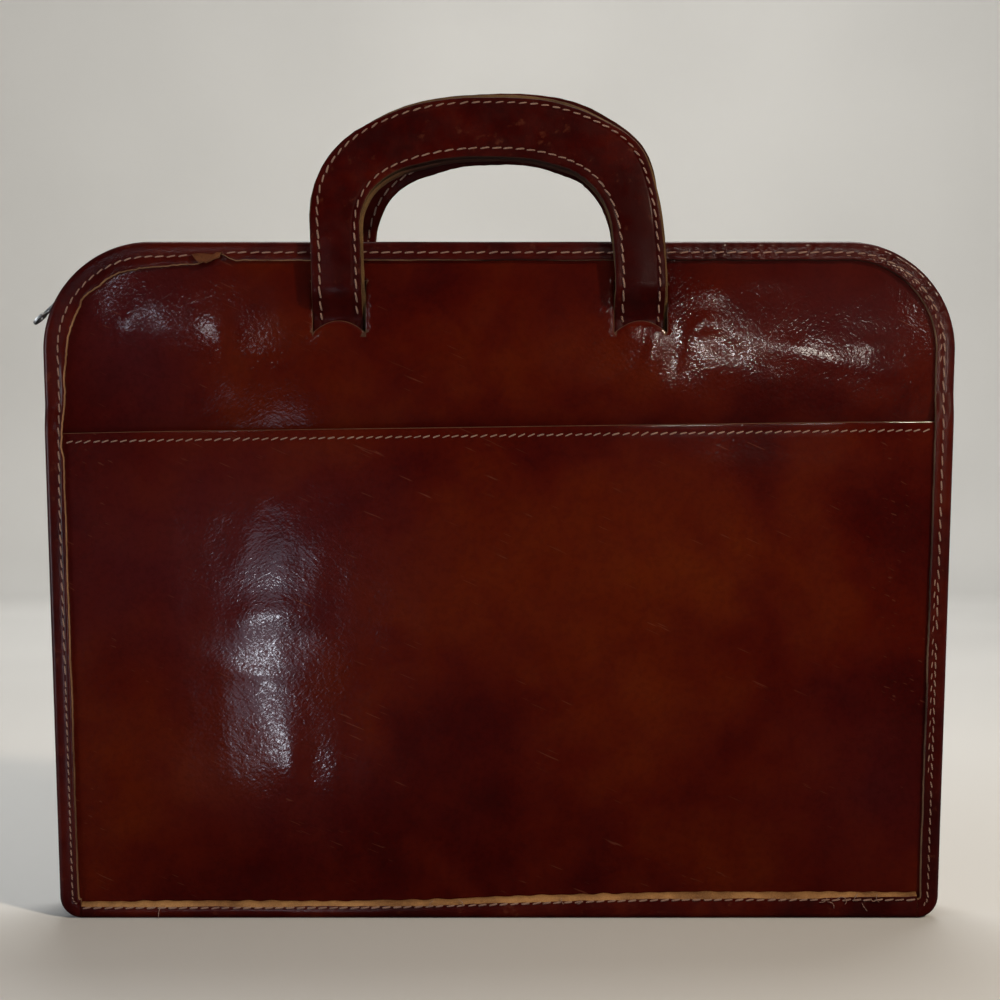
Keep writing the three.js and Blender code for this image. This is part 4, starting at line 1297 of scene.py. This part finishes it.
# The front's seam was sewn in four goes, each with stitches of its own length
goes = [
    ("left_low", seam_start, along_at_height(105), 3.5, 0.22),
    ("top", along_at_height(105), OUTLINE_LENGTH - along_at_height(262), 5.2, 0.3),
    ("right_high", OUTLINE_LENGTH - along_at_height(262), OUTLINE_LENGTH - along_at_height(120), 5.5, 0.35),
    ("right_low", OUTLINE_LENGTH - along_at_height(120), seam_end, 4.0, 0.35),
]
for go, (key, start, end, pitch, slant) in enumerate(goes):
    binding_seam(
        f"front_binding_stitches_{key}", FRONT, 0, start - 1.5, end + 1.5, 13 + go,
        slant=slant, width=0.6 if pitch < 4.5 else 0.72, pitch=pitch,
        skip=[lost] if key == "top" else [],
    )


FLAP_THICKNESS = 0.9


def torn_flap():
    """A scrap of the binding, turned up where its stitches are lost."""
    across, down = np.meshgrid(np.linspace(0, 1, 34), np.linspace(0, 1, 10))
    ragged = 1 + 0.08 * np.sin(11 * across) + 0.05 * np.sin(29 * across + 1)
    scrap = np.sin(np.pi * np.clip(across / 0.74, 0, 1)) ** 0.6
    curl = smooth((across - 0.68) / 0.1) * (1 - smooth((across - 0.88) / 0.12))
    x = -134.4 + 13.6 * across + 1.2 * down * (1 - across)
    z = 289.2 + 0.4 * np.sin(5 * across) + 1.3 * smooth((across - 0.7) / 0.14)
    z = z - down * ragged * (0.4 + 4.1 * scrap + 2.3 * curl)
    y = PANEL_SEAT + GAP + BINDING_THICKNESS + 0.15 + 1.5 * np.sin(np.pi * 0.62 * down)
    y = y + 0.35 * np.sin(6 * across) * down
    verts = [np.stack([x, layer, z], -1).reshape(-1, 3) for layer in (-y, FLAP_THICKNESS - y)]
    faces, rim = sheet_faces(*x.shape)
    make(
        "binding_torn_flap", np.vstack(verts), faces, [flap_leather, binding_cut],
        slot="trim_leather", indices=[0] * (len(faces) - rim) + [1] * rim,
    )


torn_flap()

# Later repairs: second rows on the front's right side
right_low = OUTLINE_LENGTH - along_at_height(150)
right_high = OUTLINE_LENGTH - along_at_height(56)
top_middle = OUTLINE_LENGTH / 2
repairs = [
    ("front_side_second_stitches", right_low, right_high, 21, -0.25, 0.62),
    ("front_top_second_stitches", top_middle + 150, top_middle + 235, 22, -0.3, 0.6),
]
for name, start, end, seed, slant, width in repairs:
    binding_seam(name, FRONT, 1.5, start, end, seed, slant=slant, width=width)


# Base strip


def lip_height(x, side):
    """Upper edge of the strip. The front's stands higher to the right of the middle."""
    return BASE_LIP + (mix(-0.9, 2.9, smooth((x + 75) / 165)) if side == FRONT else 0)


def base_seam_height(x, side):
    return mix(4.3, 7.8, smooth((x + 75) / 165)) if side == FRONT else 4.8 + 0 * x


def base_rings():
    """The strip's sections, from its left end to its right one."""
    front_inner, rear_inner = pocket_seat + GAP, PANEL_SEAT + GAP
    end = BASE_X - GAP
    rings = []
    for x in steps_between(-end, end, 1.0):
        places = []
        for side, inner, seed in ((FRONT, front_inner, 160), (REAR, rear_inner, 170)):
            outer = inner + BASE_THICKNESS
            top = lip_height(x, side) + 0.16 * ripple(x, 0, 30, seed)
            top = top + 0.18 * ripple(x, 0, 3.5, seed + 1)
            bow = 0.12 * ripple(x, 0, 40, seed + 2)
            seam = base_seam_height(x, side)
            slant = 0.22 * ripple(x, 0, 18, seed + 3) + 0.1 * ripple(x, 0, 3, seed + 4)
            slant = top - seam - 0.95 + min(slant, 0.2)
            slant = slant * (1 - 0.35 * smooth((x - 120) / 60))
            wall = [
                (inner, BASE_THICKNESS),
                (inner, top - 0.5),
                (inner + 0.25, top),
                (outer - 0.6 + bow, top - slant * 0.6),
                (outer - 0.15 + bow, top - slant),
                (outer + bow, top - slant - 0.3),
                (outer - 0.05 + bow, seam + 0.45),
                (outer - 0.2 + bow, seam),
                (outer - 0.05 + bow, seam - 0.5),
            ]
            for angle in np.linspace(0, math.pi / 2, 7):
                down = BASE_ROUND * (1 - math.sin(angle))
                wall.append((outer - BASE_ROUND * (1 - math.cos(angle)), down))
            wall = [(side * y, z) for y, z in wall]
            places += wall if side == FRONT else wall[::-1]
        rings.append([(x, y, z) for y, z in places])
    return np.array(rings)


rings = base_rings()
wall_points = rings.shape[1] // 2
cut = [0] * rings.shape[1]
for k in (1, 2, 3):
    cut[k] = 1
    cut[rings.shape[1] - 2 - k] = 1
loft(
    "base_strip_leather", rings, [binding_leather, bright_cut], section_materials=cut,
    sharp_points=(1, 4, 2 * wall_points - 2, 2 * wall_points - 5),
    slot="trim_leather", replaces=["base_strip"],
)
BASE_SINK = 0.16
BASE_STITCHES = 78.05
base_span = 2 * (BASE_X - 0.5)
for key, side, inner, seed in (("front", FRONT, pocket_seat, 31), ("rear", REAR, PANEL_SEAT, 32)):
    def base_place(s, side=side, inner=inner):
        x = -base_span / 2 + s
        y = inner + GAP + BASE_THICKNESS - BASE_SINK
        at = np.column_stack([x, np.full(len(s), side * y), base_seam_height(x, side) + 0.45])
        return at, facing(side, s)

    pitch = base_span / BASE_STITCHES
    stitch_run(f"{key}_base_stitches", base_place, base_span, pitch, seed=seed, slant=0.24, start=0)


# Gussets, zip tapes and teeth


def gusset(name, hand, replaced):
    """A side wall, folded slightly inward away from its two ends."""
    top = along_at_height(ZIP_END_HEIGHT) if hand > 0 else zip_start - GAP
    end_height = float(stations(top)[1])
    widths = np.linspace(-1, 1, 15)

    def section(along, x, z):
        recess = settled_recess(z)
        above, below = (z - BASE_CORNER_RADIUS) / GUSSET_SETTLE, (end_height - z) / GUSSET_SETTLE
        fade = float(smooth(above) * smooth(below))
        soft = 1 - np.sqrt(widths**2 + 0.02)
        wave = 0.25 * ripple(along, widths * 10, 22, 200 + hand) * (1 - widths**2)
        outside = -recess - GUSSET_FOLD * fade * np.clip(soft, 0, 1) - fade * np.abs(wave)
        rim = [(o, w * flange_inner) for o, w in zip(outside, widths)]
        return rim + [(o - GUSSET_THICKNESS, y) for o, y in rim[::-1]]

    along = steps_between(0.01, top, 2.4)
    rings = swept(section, along)
    if hand > 0:
        rings = rings * [-1, 1, 1]
    loft(name, rings, [gusset_leather, dull_cut], slot="trim_leather", replaces=[replaced])


gusset("left_gusset_leather", -1, "left_gusset")
gusset("right_gusset_leather", 1, "right_gusset")


def tape(name, side, replaced):
    low, high = TEETH_WIDTH / 2 - 0.5, flange_inner
    under = -RECESS - TAPE_THICKNESS
    across = np.linspace(low, high, 9)
    top = [(-RECESS + 0.06 * math.sin(5 * y), side * y) for y in across]
    section = top + [(under, side * y) for y in across[::-1]]
    rings = swept(section, steps_between(zip_start, zip_end, 2.0))
    loft(name, rings, [zip_cloth], slot="zip_tape", replaces=[replaced])


tape("front_tape_cloth", FRONT, "front_zip_tape")
tape("rear_tape_cloth", REAR, "rear_zip_tape")


# A tooth seen from outside (along the zip, across it), and its levels with their easing
TOOTH_OUTLINE = [(-0.46, -0.6), (-0.46, 2.3), (-0.3, 2.6), (0.3, 2.6), (0.46, 2.3), (0.46, -0.6)]
TOOTH_OUTLINE += [(0.28, -1.0), (-0.28, -1.0)]
TOOTH_LEVELS = [(-TEETH_THICKNESS, 0.8), (-TEETH_THICKNESS + 0.3, 1), (-0.3, 1), (0, 0.72)]
TOOTH_PITCH = 1.25


def teeth():
    """Single teeth, in turn from the one side and the other."""
    verts, faces = [], []
    for k, along in enumerate(np.arange(teeth_start + 0.6, zip_end - 0.6, TOOTH_PITCH)):
        side = 1 if k % 2 else -1
        x, z, nx, nz = (float(v) for v in stations(along))
        tangent, outward = np.array([nz, 0, -nx]), np.array([nx, 0, nz])
        faces += ring_faces(len(verts), len(TOOTH_LEVELS), len(TOOTH_OUTLINE))
        for level, ease in TOOTH_LEVELS:
            middle = np.array([x, 0, z]) + outward * (teeth_top + level)
            for a, y in TOOTH_OUTLINE:
                across = side * y * (1 if y < 0 else mix(1, ease, 0.4))
                verts.append(middle + tangent * a * ease + np.array([0, across, 0]))
    make("zip_teeth_rows", verts, faces, [bright_metal], slot="zip_metal", replaces=["zip_teeth"])


teeth()


# Slider and pull: the frame's own shapes with their edges eased


def eased(node, name, body, width):
    """The frame's shape of a node with bevelled edges, in millimetres."""
    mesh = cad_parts[node].data.copy()
    mesh.name = name
    mesh.materials.clear()
    mesh.materials.append(bright_metal)
    obj = linked(name, mesh)
    weld = obj.modifiers.new("weld", "WELD")
    weld.merge_threshold = 0.01 * MM
    flatten = obj.modifiers.new("flatten", "DECIMATE")
    flatten.decimate_type = "DISSOLVE"
    flatten.angle_limit = math.radians(2)
    bevel = obj.modifiers.new("bevel", "BEVEL")
    bevel.width = width * MM
    bevel.segments = 3
    bevel.limit_method = "ANGLE"
    bevel.angle_limit = math.radians(40)
    for polygon in mesh.polygons:
        polygon.use_smooth = True
    mesh.set_sharp_from_angle(angle=math.radians(50))
    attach(obj, body)
    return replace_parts(obj, node)


eased("zip_slider", "zip_slider_body", "case", 0.22)
eased("zip_pull", "zip_pull_tab", "pull", 0.25)


# Loose thread ends on the base strip


LOOSE_RADIUS = 0.15


def thread_ends():
    """Short threads, each from x and z on, with a length and an angle to the level."""
    rng = np.random.default_rng(90)
    front = -(pocket_seat + GAP + BASE_THICKNESS)
    verts, faces = [], []
    ends = [(-147, 5.4, 5.2, -100), (-30, 5.4, 3, 60), (-16, 5.8, 3, 120)]
    ends += [(28, 6.5, 3, 110), (34, 6.6, 2.4, 50)]
    for x in np.linspace(139, 165, 8):
        ends.append((x, 8 + rng.uniform(-1.6, 1), rng.uniform(2.4, 4.6), rng.uniform(-70, 120)))
    for x, z, length, lean in ends:
        t = np.linspace(0, 1, 9)
        c, s = math.cos(math.radians(lean)), math.sin(math.radians(lean))
        bend = rng.uniform(-1.2, 1.2)
        dx = length * (t * c - bend * 0.25 * np.sin(np.pi * t) * s)
        dz = length * (t * s + bend * 0.25 * np.sin(np.pi * t) * c)
        y = front - 0.25 - 0.4 * np.sin(np.pi * t)
        faces += ring_faces(len(verts), len(t), THREAD_SIDES)
        verts += tube(np.column_stack([x + dx, y, z + dz]), LOOSE_RADIUS)
    make("base_thread_ends", verts, faces, [thread])


thread_ends()


# Stage: floor and backdrop, lights, camera


ROOM_RADIUS = 3400
ROOM_BEND = 900
ROOM_HEIGHT = 3000
ROOM_SIDES = 96


def stage_material():
    s = Shading("pale_plaster", roughness=0.9, Specular_IOR_Level=0.2)
    plaster = [(0.3, (0.62, 0.625, 0.62)), (0.7, (0.67, 0.675, 0.67))]
    return s.finish(s.ramp(s.noise(500, detail=1), plaster))


def studio():
    """A round room with a floor that curves up into its wall."""
    flat = ROOM_RADIUS - ROOM_BEND
    profile = [(r, 0) for r in (0.01, 400, 900, 1600, flat)]
    for angle in np.linspace(0, np.pi / 2, 24)[1:]:
        profile.append((flat + ROOM_BEND * math.sin(angle), ROOM_BEND * (1 - math.cos(angle))))
    profile.append((ROOM_RADIUS, ROOM_HEIGHT))
    verts = []
    for r, z in profile:
        for angle in 2 * np.pi * np.arange(ROOM_SIDES) / ROOM_SIDES:
            verts.append((r * math.cos(angle) * MM, r * math.sin(angle) * MM, z * MM))
    mesh = bpy.data.meshes.new("studio_floor")
    mesh.from_pydata(verts, [], ring_faces(0, len(profile), ROOM_SIDES, ends=False))
    mesh.materials.append(stage_material())
    mesh.polygons.foreach_set("use_smooth", [True] * len(mesh.polygons))
    obj = linked("studio_floor", mesh)
    obj.visible_glossy = False
    obj.visible_shadow = False


def area_light(name, place, target, size, power, colour, spread):
    data = bpy.data.lights.new(name, "AREA")
    data.shape = "ELLIPSE"
    data.size, data.size_y = size
    data.energy = power
    data.color = colour
    data.spread = math.radians(spread)
    obj = linked(name, data)
    obj.location = place
    obj.rotation_euler = (Vector(target) - Vector(place)).to_track_quat("-Z", "Y").to_euler()
    obj.visible_camera = False


studio()
WARM_WHITE = (1, 0.97, 0.92)
COOL_WHITE = (0.84, 0.9, 1)
LAMPS = [
    ("warm_lamp", (1.05, -1.0, 1.2), (0.1, 0, 0.2), (0.14, 0.14), 18.5, (1, 0.82, 0.62), 180),
    ("cool_window", (-1.3, -0.62, 0.25), (-0.05, 0, 0.15), (0.5, 0.7), 5.5, (0.8, 0.9, 1), 180),
    ("top_soft", (0.1, 1.1, 2.2), (0, 0.9, 0), (2.0, 1.2), 20, WARM_WHITE, 120),
    ("wall_wash", (0.3, 1.3, 2.0), (0, 3.2, 0.9), (2.4, 0.8), 19, (1, 0.96, 0.9), 120),
    ("front_wall_wash", (-0.3, -1.6, 2.4), (0, -3.4, 1.0), (2.4, 0.8), 2.5, WARM_WHITE, 110),
]
# Small lamps in front, which the polished leather mirrors: place and target as x and z
GLINT_DISTANCE = 0.4
GLINT_SPREAD = 100
GLINTS = [
    ("cool_glint", (-0.153, 0.098), (-0.099, 0.128), (0.036, 0.012), 0.019, COOL_WHITE),
    ("cool_glint_low", (-0.142, 0.014), (-0.092, 0.071), (0.014, 0.028), 0.014, COOL_WHITE),
    ("cool_sheen", (-0.152, 0.075), (-0.098, 0.117), (0.09, 0.2), 0.026, (0.7, 0.78, 1)),
    ("cool_glint_high", (-0.194, 0.322), (-0.121, 0.253), (0.01, 0.045), 0.009, (0.95, 0.95, 1)),
    ("cool_glint_corner", (-0.268, 0.337), (-0.164, 0.271), (0.014, 0.014), 0.004, (0.8, 0.87, 1)),
    ("warm_glint", (0.224, 0.281), (0.145, 0.246), (0.085, 0.012), 0.04, (1, 0.92, 0.82)),
    ("warm_glint_side", (0.137, 0.318), (0.089, 0.27), (0.014, 0.03), 0.006, (1, 0.92, 0.82)),
    ("warm_glint_fold", (0.13, 0.29), (0.084, 0.252), (0.01, 0.01), 0.022, (1, 0.94, 0.86)),
    ("pucker_glint", (0.36, 0.35), (0.13, 0.28), (0.03, 0.03), 0.016, (1, 0.9, 0.8)),
]
for lamp in LAMPS:
    area_light(*lamp)
for name, (x, z), (aim_x, aim_z), *rest in GLINTS:
    area_light(name, (x, -GLINT_DISTANCE, z), (aim_x, 0, aim_z), *rest, GLINT_SPREAD)


def soft_room():
    """A dim room, paler to both sides and overhead, for the metal and the rounded edges."""
    world = bpy.data.worlds.new("soft_room")
    bpy.context.scene.world = world
    world.use_nodes = True
    tree = world.node_tree
    background = tree.nodes["Background"]
    background.inputs["Color"].default_value = (0.93, 0.96, 1, 1)
    where = tree.nodes.new("ShaderNodeTexCoord")
    parts = tree.nodes.new("ShaderNodeSeparateXYZ")
    aside = tree.nodes.new("ShaderNodeMath")
    aside.operation = "ABSOLUTE"
    highest = tree.nodes.new("ShaderNodeMath")
    highest.operation = "MAXIMUM"
    strength = tree.nodes.new("ShaderNodeMapRange")
    strength.interpolation_type = "SMOOTHSTEP"
    limits = {"From Min": 0.6, "From Max": 0.9, "To Min": 0.012, "To Max": 0.13}
    for key, number in limits.items():
        strength.inputs[key].default_value = number
    for source, target in (
        (where.outputs["Generated"], parts.inputs[0]),
        (parts.outputs["X"], aside.inputs[0]),
        (aside.outputs[0], highest.inputs[0]),
        (parts.outputs["Z"], highest.inputs[1]),
        (highest.outputs[0], strength.inputs["Value"]),
        (strength.outputs["Result"], background.inputs["Strength"]),
    ):
        tree.links.new(source, target)


soft_room()

# The photograph spans this much of the case's front plane, seen straight on
PICTURE_WIDTH = 435.4
CAMERA_DISTANCE = 700
PICTURE_MIDDLE = (0.4, 182)
FRONT_PLANE = -18
SENSOR_WIDTH = 36
camera = bpy.data.cameras.new("camera")
camera.sensor_width = SENSOR_WIDTH
camera.lens = SENSOR_WIDTH * CAMERA_DISTANCE / PICTURE_WIDTH
camera_object = linked("camera", camera)
camera_place = (PICTURE_MIDDLE[0], FRONT_PLANE - CAMERA_DISTANCE, PICTURE_MIDDLE[1])
camera_object.location = Vector(camera_place) * MM
camera_object.rotation_euler = (math.pi / 2, 0, 0)
bpy.context.scene.camera = camera_object
bpy.context.scene.view_settings.view_transform = "Standard"
